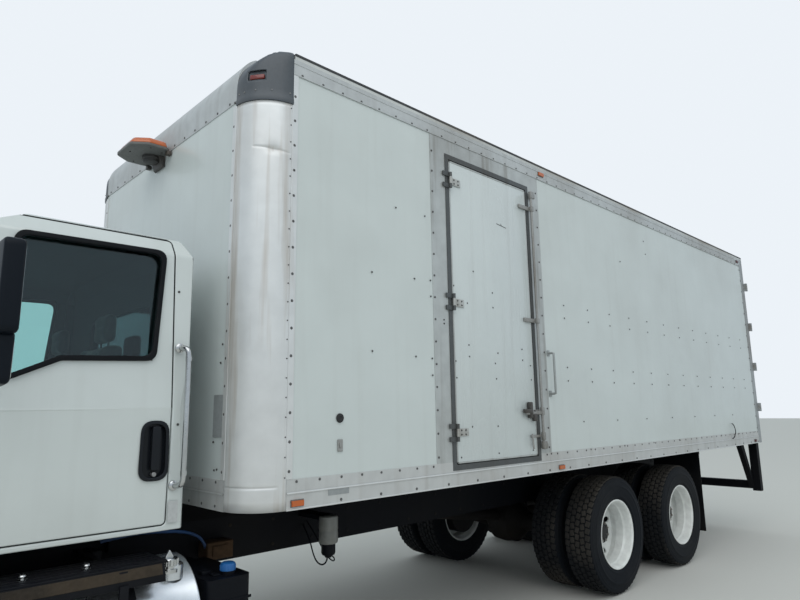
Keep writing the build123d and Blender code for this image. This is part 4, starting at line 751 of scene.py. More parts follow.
# Grab handle beside the side door, and bright ones behind both cab doors, bent from round bar.
# Bars follow a rounded path, with a foot plate at each end and a collar where a sleeve meets its elbow.
chrome = finish("bright_bar", (0.55, 0.56, 0.56), dirt=(0.20, 0.17, 0.13), dust=0.2, mottle=0.2, grain=40,
                gloss=0.16, metal=1.0)
grab_grey = finish("grab_grey", (0.36, 0.38, 0.38), dust=0.3, mottle=0.2, grain=30, gloss=0.4, metal=0.4)
bar = [tube([(-0.286, 1.2950, 1.745), (-0.286, 1.332, 1.745), (-0.286, 1.345, 1.750), (-0.286, 1.345, 1.775),
             (-0.286, 1.345, 2.040), (-0.286, 1.345, 2.065), (-0.286, 1.332, 2.070), (-0.286, 1.2950, 2.070)],
            0.0095, 16)]
bar += [slab(-0.302, -0.270, 1.2945, 1.2985, z - 0.024, z + 0.024, 0.001, 1) for z in (1.745, 2.070)]
fit(gather("side_grab", bar), grab_grey, "chassis", "chrome_bar", "grab_handles")
bars = []
for hand in (1, -1):
    path = [(2.676, hand * 1.010, 1.962), (2.664, hand * 1.052, 1.962), (2.656, hand * 1.072, 1.950),
            (2.652, hand * 1.076, 1.920), (2.652, hand * 1.076, 1.330), (2.656, hand * 1.072, 1.296),
            (2.664, hand * 1.052, 1.284), (2.676, hand * 1.010, 1.284)]
    bars.append(tube(path, 0.0145, 20, round_order=3))
    for z in (1.905, 1.345):
        bars.append(tube([(2.652, hand * 1.076, z - 0.012), (2.652, hand * 1.076, z + 0.012)], 0.0170, 20))
    for z in (1.962, 1.284):
        flange = ((0.024, 1.016), (0.024, 1.022), (0.016, 1.027), (0.0, 1.028))
        bars.append(spun([(2.676 + r, hand * y, z) for r, y in flange], (2.676, 0, z), (0, 1, 0), 24))
fit(gather("cab_grab_bars", bars), chrome, "chassis", "chrome_bar")


# Rear: a steel frame, and two white doors with lock rods, cams, keepers, handles and hinge straps.
# The frame's solids are dressed; bevelled cam plates, handle grips and screw heads are added on the doors.
rear_metal = finish("rear_steel", (0.36, 0.38, 0.39), dirt=(0.15, 0.10, 0.07), streaks=0.5, dust=0.4,
                    mottle=0.35, grain=18, gloss=0.42, metal=0.3)
dress(rear_metal, "rear_frame")
dress(door_white, "rear_door_left", "rear_door_right")
for name, hand in (("left", 1), ("right", -1)):
    mesh = cad_nodes[f"rear_door_{name}"].data
    mesh.materials.clear()
    mesh.materials.append(door_white)
    mesh.materials.append(zinc)
    for face in mesh.polygons:
        face.material_index = int(face.center.x < -5.3655 or abs(face.center.y) > 1.236)
    parts, heads, strips = [], [], []
    for y in (0.140, 0.760):
        for z in (1.282, 3.440):
            low, top = z - 0.022, z + 0.022
            parts.append(slab(-5.400, -5.366, hand * (y - 0.034), hand * (y + 0.034), low, top, 0.005, 2))
        parts.append(slab(-5.398, -5.368, hand * (y - 0.020), hand * (y + 0.060), 1.466, 1.522, 0.006, 2))
        parts.append(slab(-5.394, -5.374, hand * (y + 0.255), hand * (y + 0.380), 1.475, 1.513, 0.008, 3))
        parts.append(slab(-5.386, -5.366, hand * (y + 0.300), hand * (y + 0.340), 1.444, 1.544, 0.006, 2))
        for z in (1.320, 1.700, 2.400, 3.100, 3.400):
            for dy in (-0.022, 0.022):
                heads.append(one_head((-5.3788, hand * (y + dy), z), (-1, 0, 0), 0.0055))
    for z in (3.270, 2.700, 2.150, 1.603):
        for dy in (0.02, 0.09, 0.16, 0.21):
            heads.append(one_head((-5.3750, hand * (1.215 - dy), z), (-1, 0, 0), 0.0065))
    for y0, y1, z0, z1 in ((0.004, 0.020, 1.262, 3.466), (1.213, 1.230, 1.262, 3.466),
                           (0.004, 1.230, 1.262, 1.280), (0.004, 1.230, 3.448, 3.466)):
        strips.append(slab(-5.3680, -5.3640, hand * y0, hand * y1, z0, z1, 0.001, 1))
    fit(gather(f"rear_hardware_{name}", parts), zinc, f"rear_door_{name}", "mill_aluminium")
    fit(gather(f"rear_heads_{name}", heads), rivet_dirt, f"rear_door_{name}", "mill_aluminium")
    fit(gather(f"rear_seal_{name}", strips), gasket, f"rear_door_{name}", "black_plastic")


# Tyres: spun sidewalls with their ribs and a base below the tread, and rows of worn lugs set round it.
# One lug is shaped and bevelled, then carried round the axle; steering tyres have straight ribs instead.
rubber = finish("tyre_rubber", (0.0075, 0.0095, 0.0130), dirt=(0.085, 0.080, 0.074), streaks=0.0, dust=0.16,
                mottle=0.35, grain=22, gloss=0.72, shine=0.12, bump=0.25, bump_depth=0.0008)
tread_rubber = finish("tread_rubber", (0.018, 0.019, 0.021), dirt=(0.17, 0.15, 0.125), dust=0.50, mottle=0.75,
                      grain=35, gloss=0.85, shine=0.12, bump=0.3, bump_depth=0.0008)
axle_high = 0.505
sidewall = ((0.1085, 0.2870), (0.1130, 0.2960), (0.1205, 0.3080), (0.1262, 0.3200), (0.1290, 0.3235),
            (0.1302, 0.3290), (0.1292, 0.3350), (0.1330, 0.3520), (0.1362, 0.3720), (0.1385, 0.3930),
            (0.1388, 0.4080), (0.1400, 0.4100), (0.1398, 0.4150), (0.1378, 0.4170), (0.1350, 0.4360),
            (0.1312, 0.4540), (0.1322, 0.4560), (0.1315, 0.4620), (0.1290, 0.4650), (0.1262, 0.4740),
            (0.1250, 0.4830), (0.1215, 0.4885))
ribs = ((0.1180, 0.4935), (0.1090, 0.4988), (0.1080, 0.5000), (0.0800, 0.5018), (0.0780, 0.4890),
        (0.0700, 0.4890), (0.0680, 0.5025), (0.0380, 0.5035), (0.0360, 0.4890), (0.0270, 0.4890),
        (0.0250, 0.5040))
lug_base = ((0.1180, 0.4890), (0.1000, 0.4900), (0.0500, 0.4915))


def tyre_body(x, mid, hand, ribbed):
    """One tyre's spun skin about its own middle."""
    half_chain = list(sidewall) + list(ribs if ribbed else lug_base)
    chain = [(x, hand * (mid - a), axle_high + r) for a, r in half_chain]
    chain += [(x, hand * (mid + a), axle_high + r) for a, r in reversed(half_chain)]
    return spun(chain, (x, 0, axle_high), (0, 1, 0), 72, smooth=38)


def lug_rows(x, mid, hand):
    """Rows of lugs round one tyre: five across, each row half a pitch on from the last."""
    rows = []
    pitches, lug_foot = 54, 0.4880
    for number, across in enumerate((-0.0960, -0.0480, 0.0, 0.0480, 0.0960)):
        top = 0.5040 - 0.0035 * (across / 0.0960) ** 2
        wide = 0.0385 if abs(across) > 0.09 else 0.0350
        deselect()
        bpy.ops.mesh.primitive_cube_add(size=1, location=(0, 0, 0))
        lug = bpy.context.object
        lug.scale = (0.0455, wide, top - lug_foot)
        bpy.ops.object.transform_apply(location=True, rotation=True, scale=True)
        bpy.ops.object.mode_set(mode="EDIT")
        pick_faces(lambda centre, normal: normal.z < -0.9)
        bpy.ops.mesh.delete(type="FACE")
        pick_faces(lambda centre, normal: normal.z > 0.9)
        bpy.ops.mesh.region_to_loop()
        bpy.ops.mesh.bevel(offset=0.0022, segments=1)
        bpy.ops.object.mode_set(mode="OBJECT")
        lug.rotation_euler = (math.atan2(-across, 0.9) * 0.6, 0, math.radians(14 if number % 2 else -14))
        lug.location = (0, 0, (top + lug_foot) / 2)
        bpy.ops.object.transform_apply(location=True, rotation=True, scale=True)
        lug.data.transform(Matrix.Translation((0, hand * (mid + across), 0)))
        deselect()
        step = bpy.data.objects.new("lug_step", None)
        bpy.context.scene.collection.objects.link(step)
        step.rotation_euler = (0, 2 * math.pi / pitches, 0)
        lug.select_set(True)
        bpy.context.view_layer.objects.active = lug
        lug.data.transform(Matrix.Rotation(math.pi / pitches * (number % 2), 4, "Y"))
        ring = lug.modifiers.new("round", "ARRAY")
        ring.use_relative_offset, ring.use_object_offset = False, True
        ring.offset_object, ring.count = step, pitches
        bpy.context.view_layer.update()
        bpy.ops.object.modifier_apply(modifier="round")
        bpy.data.objects.remove(step)
        lug.data.transform(Matrix.Translation((x, 0, axle_high)))
        rows.append(settle(20))
    return rows


twin_tracks = (1.085, 0.742)
wheel_places = (("mid", "mid_wheels", -1.3925, twin_tracks), ("rear", "rear_wheels", -2.7935, twin_tracks))
front_x, front_track, front_face = 4.370, 1.030, 1.170
for name, hand in (("left", 1), ("right", -1)):
    fit(tyre_body(front_x, front_track, hand, True), rubber, f"front_wheel_{name}", "tyre",
        f"front_tyre_{name}").name = f"front_tyre_skin_{name}"
    for place, body, x, tracks in wheel_places:
        skins = [tyre_body(x, track, hand, False) for track in tracks]
        fit(gather(f"{place}_tyre_skins_{name}", skins), rubber, f"{body}_{name}", "tyre",
            f"{place}_tyres_{name}")
        lugs = []
        for track in tracks:
            lugs += lug_rows(x, track, hand)
        fit(gather(f"{place}_tyre_lugs_{name}", lugs), tread_rubber, f"{body}_{name}", "tyre")


# Wheels: white steel rims with drop wells, dished discs with five hand holes, ten nuts and dark hubs.
# Barrel and disc are spun sections; the hand holes are cut by round tools, nuts are set in a ring.
rim_paint = finish("rim_white", (0.82, 0.84, 0.83), dirt=(0.26, 0.21, 0.16), dust=0.16, mottle=0.35, grain=18,
                   gloss=0.38, bump=0.06, bump_depth=0.0006)
hub_black = finish("hub_dark", (0.012, 0.012, 0.013), dirt=(0.08, 0.06, 0.04), dust=0.3, mottle=0.5, grain=30,
                   gloss=0.55, metal=0.3, bump=0.2, bump_depth=0.001)
nut_metal = finish("nut_metal", (0.30, 0.29, 0.27), dirt=(0.16, 0.09, 0.05), dust=0.5, mottle=0.6, grain=60,
                   gloss=0.45, metal=0.6)
barrel = ((-0.1208, 0.2975), (-0.1215, 0.2900), (-0.1150, 0.2815), (-0.1050, 0.2760), (-0.0600, 0.2738),
          (-0.0480, 0.2700), (-0.0370, 0.2620), (0.0370, 0.2620), (0.0480, 0.2700), (0.0600, 0.2738),
          (0.1050, 0.2760), (0.1150, 0.2815), (0.1215, 0.2900), (0.1208, 0.2975), (0.1175, 0.2985),
          (0.1130, 0.2940), (0.1085, 0.2865), (0.0480, 0.2830), (0.0330, 0.2710), (-0.0330, 0.2710),
          (-0.0480, 0.2830), (-0.1085, 0.2865), (-0.1130, 0.2940), (-0.1175, 0.2985), (-0.1208, 0.2975))
disc = ((0.0120, 0.0900), (0.0120, 0.1500), (0.0135, 0.1650), (0.0180, 0.1780), (0.0270, 0.1900),
        (0.0390, 0.2060), (0.0530, 0.2260), (0.0670, 0.2460), (0.0785, 0.2620), (0.0845, 0.2700),
        (0.0880, 0.2765), (0.0740, 0.2765), (0.0665, 0.2620), (0.0540, 0.2460), (0.0400, 0.2260),
        (0.0260, 0.2060), (0.0140, 0.1900), (0.0060, 0.1780), (0.0015, 0.1650), (0.0, 0.1500),
        (0.0, 0.0900), (0.0120, 0.0900))
drum = ((-0.3000, 0.0600), (-0.3000, 0.2050), (-0.2960, 0.2090), (-0.2900, 0.2100), (-0.2860, 0.2060),
        (-0.2700, 0.2060), (-0.2660, 0.2090), (-0.0760, 0.2090), (-0.0600, 0.1980), (-0.0480, 0.1640),
        (-0.0140, 0.1500), (-0.0002, 0.1500))
rear_hub = ((0.0122, 0.1180), (0.0160, 0.1000), (0.0260, 0.0955), (0.0900, 0.0915), (0.1320, 0.0890),
            (0.1340, 0.0935), (0.1460, 0.0935), (0.1480, 0.0915), (0.1480, 0.0600), (0.1500, 0.0560),
            (0.1565, 0.0500), (0.1580, 0.0440), (0.1580, 0.0))
front_drum = ((-0.0280, 0.0400), (-0.0280, 0.0780), (0.1000, 0.0840), (0.1000, 0.1420), (0.1278, 0.1420),
              (0.1278, 0.0900))
front_hub = ((0.1282, 0.1180), (0.1310, 0.0980), (0.1400, 0.0920), (0.1440, 0.0780), (0.1580, 0.0765),
             (0.1600, 0.0790), (0.1640, 0.0790), (0.1665, 0.0740), (0.1670, 0.0300), (0.1680, 0.0))


def turned_part(x, hand, mid, way, section, steps=60, smooth=32):
    """A section of (along the axle, radius) turned about a wheel's axle."""
    chain = [(x, hand * (mid + way * a), axle_high + r) for a, r in section]
    return spun(chain, (x, 0, axle_high), (0, 1, 0), steps, smooth=smooth)


def wheel_disc(x, hand, mid, way):
    """A disc with its hand holes cut through."""
    piece = turned_part(x, hand, mid, way, disc, 80, 40)
    hole_circle = 0.236
    cutters = []
    for i in range(5):
        turn = 2 * math.pi * i / 5
        at = (x + hole_circle * math.sin(turn), hand * (mid + way * 0.06),
              axle_high + hole_circle * math.cos(turn))
        deselect()
        bpy.ops.mesh.primitive_cylinder_add(vertices=28, radius=0.027, depth=0.14, location=at,
                                            rotation=(math.pi / 2, 0, 0))
        cutters.append(settle(40))
    tool = gather("hand_hole_tool", cutters)
    deselect()
    bpy.context.view_layer.objects.active = piece
    piece.select_set(True)
    cut = piece.modifiers.new("hand_holes", "BOOLEAN")
    cut.operation, cut.object = "DIFFERENCE", tool
    bpy.ops.object.modifier_apply(modifier="hand_holes")
    bpy.data.objects.remove(tool)
    deselect()
    piece.select_set(True)
    bpy.context.view_layer.objects.active = piece
    return settle(40)


def nut_ring(x, hand, at, count, circle, across, high, stud):
    """Flanged nuts with their stud ends, in a ring round the axle, standing out from at."""
    ring = []
    for i in range(count):
        turn = 2 * math.pi * (i + 0.5) / count
        place = (x + circle * math.sin(turn), axle_high + circle * math.cos(turn))
        for sides, radius, low, top in ((16, across * 0.62, 0.0, high * 0.18),
                                        (6, across / 2 * 1.12, 0.0, high),
                                        (10, stud, high * 0.9, high * 1.35)):
            deselect()
            bpy.ops.mesh.primitive_cylinder_add(vertices=sides, radius=radius, depth=top - low,
                                                rotation=(math.pi / 2, 0, 0),
                                                location=(place[0], hand * (at + (low + top) / 2), place[1]))
            ring.append(settle(30))
    return ring


for name, hand in (("left", 1), ("right", -1)):
    for place, body, x, tracks in wheel_places:
        meet = sum(tracks) / 2
        whites = [turned_part(x, hand, tracks[0], 1, barrel, 80),
                  turned_part(x, hand, tracks[1], 1, barrel, 80),
                  wheel_disc(x, hand, meet, 1), wheel_disc(x, hand, meet, -1)]
        fit(gather(f"{place}_rim_skins_{name}", whites), rim_paint, f"{body}_{name}", "wheel_paint",
            f"{place}_rims_{name}")
        darks = [turned_part(x, hand, meet, 1, drum, 48), turned_part(x, hand, meet, 1, rear_hub, 48)]
        fit(gather(f"{place}_hubs_{name}", darks), hub_black, f"{body}_{name}", "black_steel")
        nuts = nut_ring(x, hand, meet + 0.012, 10, 0.1429, 0.033, 0.026, 0.011)
        nuts += nut_ring(x, hand, meet + 0.148, 8, 0.0780, 0.020, 0.010, 0.006)
        fit(gather(f"{place}_nuts_{name}", nuts), nut_metal, f"{body}_{name}", "black_steel")
    whites = [turned_part(front_x, hand, front_track, 1, barrel, 80),
              wheel_disc(front_x, hand, front_face, -1)]
    fit(gather(f"front_rim_skin_{name}", whites), rim_paint, f"front_wheel_{name}", "wheel_paint",
        f"front_rim_{name}")
    darks = [turned_part(front_x, hand, front_track, 1, front_drum, 48),
             turned_part(front_x, hand, front_track + 0.0119, 1, front_hub, 48)]
    fit(gather(f"front_hub_{name}", darks), hub_black, f"front_wheel_{name}", "black_steel")
    nuts = nut_ring(front_x, hand, front_face, 10, 0.1429, 0.033, 0.026, 0.011)
    fit(gather(f"front_nuts_{name}", nuts), nut_metal, f"front_wheel_{name}", "black_steel")


# Cab shell, doors and hood: white painted panels with soft creases, from merged copies of the frame's solids.
# Each copy is cleaned of its inner cuts and every sharp edge is rounded over, which also softens the seams.
cab_white = finish("cab_white", (0.605, 0.650, 0.650), dirt=(0.17, 0.15, 0.12), streaks=0.04, dust=0.07,
                   mottle=0.06, grain=4, gloss=0.16, low_dirt=0.30, dirt_height=1.35, coat=0.5, bump=0.05,
                   bump_depth=0.002)


def softened(node, width, steps=3, crease=24, smooth=13):
    """A merged copy of a frame node with its edges rounded over by width."""
    deselect()
    shape = cad_nodes[node].data.copy()
    shape.transform(cad_nodes[node].matrix_world)
    piece = bpy.data.objects.new(f"{node}_skin", shape)
    bpy.context.scene.collection.objects.link(piece)
    bpy.context.view_layer.objects.active = piece
    piece.select_set(True)
    bpy.ops.object.mode_set(mode="EDIT")
    bpy.ops.mesh.select_all(action="SELECT")
    bpy.ops.mesh.remove_doubles(threshold=0.00002)
    bpy.ops.mesh.dissolve_limited(angle_limit=math.radians(1.0))
    bpy.ops.mesh.normals_make_consistent(inside=False)
    bpy.ops.object.mode_set(mode="OBJECT")
    for face in piece.data.polygons:
        face.material_index = 0
    rounding = piece.modifiers.new("soft_edges", "BEVEL")
    rounding.width, rounding.segments = width, steps
    rounding.limit_method, rounding.angle_limit = "ANGLE", math.radians(crease)
    rounding.use_clamp_overlap = False
    bpy.ops.object.modifier_apply(modifier="soft_edges")
    settle(smooth)
    bpy.ops.object.mode_set(mode="EDIT")
    bpy.ops.mesh.select_all(action="SELECT")
    bpy.ops.mesh.quads_convert_to_tris(quad_method="BEAUTY", ngon_method="BEAUTY")
    # Long slivers that the rounding folds back over their neighbours are closed up.
    shape = bmesh.from_edit_mesh(piece.data)
    folds = set()
    for face in shape.faces:
        beside = [other for edge in face.edges for other in edge.link_faces if other is not face]
        turned = [other for other in beside if other.normal.dot(face.normal) < -0.99]
        sides = sorted(face.edges, key=lambda edge: edge.calc_length())
        sliver = sides[0].calc_length() < 0.008 and sides[2].calc_length() > 0.12
        if sliver and any(other.calc_area() > face.calc_area() for other in turned):
            folds.add(sides[0])
    bmesh.ops.collapse(shape, edges=list(folds))
    bmesh.update_edit_mesh(piece.data)
    bpy.ops.object.mode_set(mode="OBJECT")
    shade = piece.modifiers.new("flat_faces", "WEIGHTED_NORMAL")
    shade.mode, shade.weight, shade.thresh, shade.keep_sharp = "FACE_AREA", 100, 0.0001, True
    bpy.ops.object.modifier_apply(modifier="flat_faces")
    return piece


fit(softened("cab_shell", 0.006), cab_white, "chassis", "white_paint", "cab_shell")
for name in ("left", "right"):
    fit(softened(f"cab_door_{name}", 0.005, smooth=4), cab_white, f"cab_door_{name}", "white_paint",
        f"cab_door_{name}")
fit(softened("hood", 0.004), cab_white, "hood", "white_paint", "hood")


# Cab glass: dark green-grey panes, black rubber surrounds in the doors, and a pressed crease below them.
# Panes are the frame's own; each surround is an outline cut in the plane of its leaning door.
tinted = bpy.data.materials.new("tinted_glass")
tinted.use_nodes = True
glass_nodes, glass_links = tinted.node_tree.nodes, tinted.node_tree.links
glass_nodes.remove(glass_nodes["Principled BSDF"])
see_through = glass_nodes.new("ShaderNodeBsdfTransparent")
see_through.inputs["Color"].default_value = (0.72, 0.86, 0.85, 1)
mirror_coat = glass_nodes.new("ShaderNodeBsdfGlossy")
mirror_coat.inputs["Color"].default_value = (0.9, 0.95, 1.0, 1)
mirror_coat.inputs["Roughness"].default_value = 0.02
sheen = glass_nodes.new("ShaderNodeFresnel")
sheen.inputs["IOR"].default_value = 1.45
pane_mix = glass_nodes.new("ShaderNodeMixShader")
glass_links.new(sheen.outputs[0], pane_mix.inputs[0])
glass_links.new(see_through.outputs[0], pane_mix.inputs[1])
glass_links.new(mirror_coat.outputs[0], pane_mix.inputs[2])
glass_links.new(pane_mix.outputs[0], glass_nodes["Material Output"].inputs["Surface"])
dress(tinted, "cab_glass", "door_glass_left", "door_glass_right")
black_trim = finish("black_trim", (0.006, 0.007, 0.009), dirt=(0.05, 0.045, 0.04), dust=0.10, mottle=0.2,
                    grain=60, gloss=0.45, shine=0.12, bump=0.1, bump_depth=0.0005)
window_line = ((2.755, 2.465), (2.800, 1.898), (3.220, 1.882), (3.410, 1.795), (3.614, 1.795), (3.425, 2.455))


def ring_points(corners, radius, grow, centre):
    """Corners moved out from their middle by grow, then rounded, relative to centre."""
    moved = []
    count = len(corners)
    for i, corner in enumerate(corners):
        here = Vector(corner)
        back, on = here - Vector(corners[i - 1]), Vector(corners[(i + 1) % count]) - here
        normals = [Vector((edge.y, -edge.x)).normalized() for edge in (back, on)]
        area = sum(a[0] * b[1] - b[0] * a[1] for a, b in zip(corners, corners[1:] + corners[:1]))
        side = 1 if area > 0 else -1
        bisector = (normals[0] + normals[1]).normalized() * side
        moved.append(here + bisector * grow / max(0.35, bisector.dot(normals[0] * side)) - Vector(centre))
    return rounded([tuple(point) for point in moved], radius)


belt_high, belt_out = 1.663, 1.020
lean = math.atan2(belt_out - 0.965, 2.462 - belt_high)
for name, hand in (("left", 1), ("right", -1)):
    outlines = [ring_points(window_line, 0.056, 0.006, (0, belt_high)),
                ring_points(window_line, 0.052, -0.018, (0, belt_high))]
    ring = moulding(outlines, -0.018, 0.0045, 0.003, (1, 0, 0), (0, -hand * math.sin(lean), math.cos(lean)),
                    smooth=40)
    ring.data.transform(Matrix.Translation((0, hand * belt_out, belt_high)))
    fit(ring, black_trim, f"cab_door_{name}", "black_plastic").name = f"window_surround_{name}"
    sill = tube([(2.81, hand * 1.0055, 1.899), (3.215, hand * 1.0065, 1.884), (3.40, hand * 1.012, 1.801),
                 (3.600, hand * 1.012, 1.797)], 0.006, 10)
    fit(sill, gasket, f"cab_door_{name}", "black_plastic").name = f"window_wiper_{name}"
    belt = tube([(2.860, hand * 1.0085, 1.658), (2.960, hand * 1.0105, 1.658), (3.140, hand * 1.0112, 1.658),
                 (3.400, hand * 1.0116, 1.658), (3.698, hand * 1.0116, 1.658)], 0.0100, 28)
    fit(belt, cab_white, f"cab_door_{name}", "white_paint").name = f"belt_crease_{name}"


# Door handles: a black oval bezel with a scooped cup, an upright pull paddle and a lock at its foot.
# The scoop lines the recess in the door; the bezel's lip stands just off the paint.
handle_black = finish("handle_black", (0.010, 0.012, 0.016), dirt=(0.06, 0.06, 0.06), dust=0.15, mottle=0.1,
                      grain=50, gloss=0.22, shine=0.12, coat=0.2)
handle_x, handle_z = 2.780, 1.457


def handle_oval(wide, high, radius):
    """A rounded upright outline about the handle's middle, a little narrower at its top."""
    x, z = wide / 2, high / 2
    return rounded(((handle_x - x, handle_z - z), (handle_x + x, handle_z - z),
                    (handle_x + x * 0.93, handle_z + z), (handle_x - x * 0.93, handle_z + z)), radius)


paddle_line = rounded(((handle_x - 0.0285, handle_z - 0.093), (handle_x + 0.0145, handle_z - 0.093),
                       (handle_x + 0.0135, handle_z + 0.116), (handle_x - 0.0270, handle_z + 0.116)), 0.012)
for name, hand in (("left", 1), ("right", -1)):
    bezel = moulding([handle_oval(0.146, 0.287, 0.060), handle_oval(0.112, 0.252, 0.048)], -0.004, 0.0055,
                     0.0025, (1, 0, 0), (0, 0, 1), smooth=40)
    cup_floor = moulding([handle_oval(0.126, 0.266, 0.056)], -0.0245, -0.0215, 0.0, (1, 0, 0), (0, 0, 1))
    cup_wall = moulding([handle_oval(0.126, 0.266, 0.056), handle_oval(0.120, 0.260, 0.053)], -0.0245, 0.0,
                        0.0, (1, 0, 0), (0, 0, 1))
    paddle = moulding([paddle_line], -0.021, 0.0080, 0.0035, (1, 0, 0), (0, 0, 1), steps=3, smooth=50)
    parts = [bezel, cup_floor, cup_wall, paddle]
    facing = Matrix.Scale(-1, 4, (0, 1, 0)) if hand > 0 else Matrix.Identity(4)
    for part in parts:
        part.data.transform(Matrix.Translation((0, hand * 1.0195, 0)) @ facing)
    grip = gather(f"door_handle_{name}", parts)
    deselect()
    grip.select_set(True)
    bpy.context.view_layer.objects.active = grip
    bpy.ops.object.mode_set(mode="EDIT")
    bpy.ops.mesh.select_all(action="SELECT")
    bpy.ops.mesh.normals_make_consistent(inside=False)
    bpy.ops.object.mode_set(mode="OBJECT")
    fit(grip, handle_black, f"cab_door_{name}", "black_plastic")
    lock = spun([(2.776, hand * 1.0000, 1.356), (2.776, hand * 1.0225, 1.356), (2.776, hand * 1.0240, 1.354),
                 (2.776, hand * 1.0240, 1.345)], (2.776, 0, 1.345), (0, 1, 0), 20)
    fit(lock, screw_metal, f"cab_door_{name}", "chrome_bar").name = f"door_lock_{name}"


# Bare label places and small screws on the cab's rear pillars: thin vinyl and domed steel heads.
# Both sides of the cab have the same ones, at the same height.
labels = [slab(2.648, 2.698, hand * 1.0190, hand * 1.0206, 1.112, 1.212, 0.0004, 1) for hand in (1, -1)]
label_blank = finish("label_blank", (0.50, 0.52, 0.53), dust=0.25, mottle=0.35, grain=60, gloss=0.35)
fit(gather("cab_blank_labels", labels), label_blank, "chassis", "white_paint")
pillar_screws = []
for hand in (1, -1):
    for x, y, z in ((2.679, 0.979, 2.261), (2.669, 1.0195, 1.579)):
        pillar_screws.append(one_head((x, hand * y, z), (0, hand, 0), 0.0065))
fit(gather("pillar_screws", pillar_screws), rivet_dirt, "chassis", "black_plastic")


# Mirrors: a tall black housing that tapers below, two arms from the door and glass on the rear face.
# Two rounded forms overlap to make the housing; the arms are bent bar with feet on the door's front edge.
mirror_black = finish("mirror_black", (0.006, 0.009, 0.014), dirt=(0.05, 0.045, 0.04), dust=0.08, mottle=0.15,
                      grain=40, gloss=0.4, shine=0.12, bump=0.1, bump_depth=0.0005)
mirror_face = finish("mirror_glass", (0.60, 0.64, 0.66), gloss=0.03, metal=1.0, mottle=0.0)
for name, hand in (("left", 1), ("right", -1)):
    upper = [(hand * y, z) for y, z in ((1.252, 1.930), (1.448, 1.938), (1.452, 2.302), (1.262, 2.306))]
    lower = [(hand * y, z) for y, z in ((1.262, 1.742), (1.392, 1.752), (1.410, 1.950), (1.250, 1.950))]
    housing = [moulding([rounded(upper, 0.035)], 0.0, 0.076, 0.016, (0, 1, 0), (0, 0, 1), (3.484, 0, 0),
                        steps=4, smooth=50),
               moulding([rounded(lower, 0.030)], 0.0, 0.072, 0.016, (0, 1, 0), (0, 0, 1), (3.486, 0, 0),
                        steps=4, smooth=50)]
    fit(gather(f"mirror_housing_{name}", housing), mirror_black, f"cab_door_{name}", "black_plastic",
        f"mirror_{name}")
    upper = [(hand * y, z) for y, z in ((1.272, 1.972), (1.430, 1.978), (1.433, 2.284), (1.280, 2.288))]
    lower = [(hand * y, z) for y, z in ((1.278, 1.762), (1.380, 1.768), (1.392, 1.918), (1.268, 1.918))]
    faces = [moulding([rounded(upper, 0.022)], 0.0, 0.003, 0.001, (0, 1, 0), (0, 0, 1), (3.4825, 0, 0)),
             moulding([rounded(lower, 0.020)], 0.0, 0.003, 0.001, (0, 1, 0), (0, 0, 1), (3.4845, 0, 0))]
    fit(gather(f"mirror_faces_{name}", faces), mirror_face, f"cab_door_{name}", "glass")
    arms = [tube([(3.510, hand * 0.955, 2.250), (3.510, hand * 1.20, 2.250), (3.512, hand * 1.290, 2.235),
                  (3.514, hand * 1.300, 2.200)], 0.011, 14, round_order=3),
            tube([(3.510, hand * 1.000, 1.790), (3.510, hand * 1.20, 1.790), (3.512, hand * 1.290, 1.800),
                  (3.514, hand * 1.300, 1.840)], 0.011, 14, round_order=3)]
    arms += [slab(3.475, 3.545, hand * 0.960, hand * 0.998, 2.215, 2.285, 0.006, 2),
             slab(3.475, 3.545, hand * 0.998, hand * 1.030, 1.755, 1.825, 0.006, 2)]
    fit(gather(f"mirror_arms_{name}", arms), black_trim, f"cab_door_{name}", "black_plastic")


# Front of the truck: black grille and bumper, clear headlamps, and a pair of black wipers.
# The first three are the frame's solids in their finishes; each wiper is a bent arm and a straight blade.
bumper_metal = finish("bumper_black", (0.020, 0.021, 0.024), dirt=(0.10, 0.085, 0.07), dust=0.15, mottle=0.3,
                      grain=30, gloss=0.45, shine=0.12, low_dirt=0.4, dirt_height=0.7)
lamp_clear = finish("lamp_clear", (0.42, 0.46, 0.48), dust=0.2, mottle=0.2, grain=40, gloss=0.12, coat=0.6,
                    metal=0.2)
dress(black_trim, "grille")
dress(bumper_metal, "front_bumper")
dress(lamp_clear, "headlamps")
blades = []
for y in (-0.30, 0.42):
    blades.append(tube([(3.985, y, 1.705), (3.955, y + 0.10, 1.800), (3.900, y + 0.28, 1.900)], 0.008, 10))
    blades.append(tube([(3.958, y - 0.02, 1.812), (3.872, y + 0.52, 2.000)], 0.009, 10))
fit(gather("wipers", blades), black_trim, "chassis", "black_plastic")


# Chassis: black painted rails, cross members, axles and shafts, browner towards the road.
# The frame's solids carry the paint; rail bolts, guard braces and the side door's hold-back are added.
frame_black = finish("frame_black", (0.0035, 0.0042, 0.0065), dirt=(0.045, 0.037, 0.028), streaks=0.03,
                     dust=0.08, mottle=0.35, grain=22, gloss=0.6, shine=0.12, low_dirt=0.12, dirt_height=0.9,
                     bump=0.15, bump_depth=0.001)
axle_black = finish("axle_black", (0.010, 0.010, 0.011), dirt=(0.07, 0.052, 0.035), dust=0.3, mottle=0.5,
                    grain=18, gloss=0.65, shine=0.12, low_dirt=0.4, dirt_height=0.8, bump=0.3,
                    bump_depth=0.0015)
dress(frame_black, "chassis_frame", "underride_guard")
dress(axle_black, "drive_axles", "front_axle", "knuckle_left", "knuckle_right", "tie_rod", "engine_block")
bolts = []
for hand in (1, -1):
    for z in (0.790, 0.945):
        y = hand * 0.4318
        bolts.append(rivet_row((-5.100, y, z), (2.350, y, z), 0.310, (0, hand, 0), 0.012))
fit(gather("frame_bolts", bolts), axle_black, "chassis", "black_steel")
brace_line = ((-5.268, 0.536), (-5.268, 0.646), (-5.012, 1.132), (-4.908, 1.132))
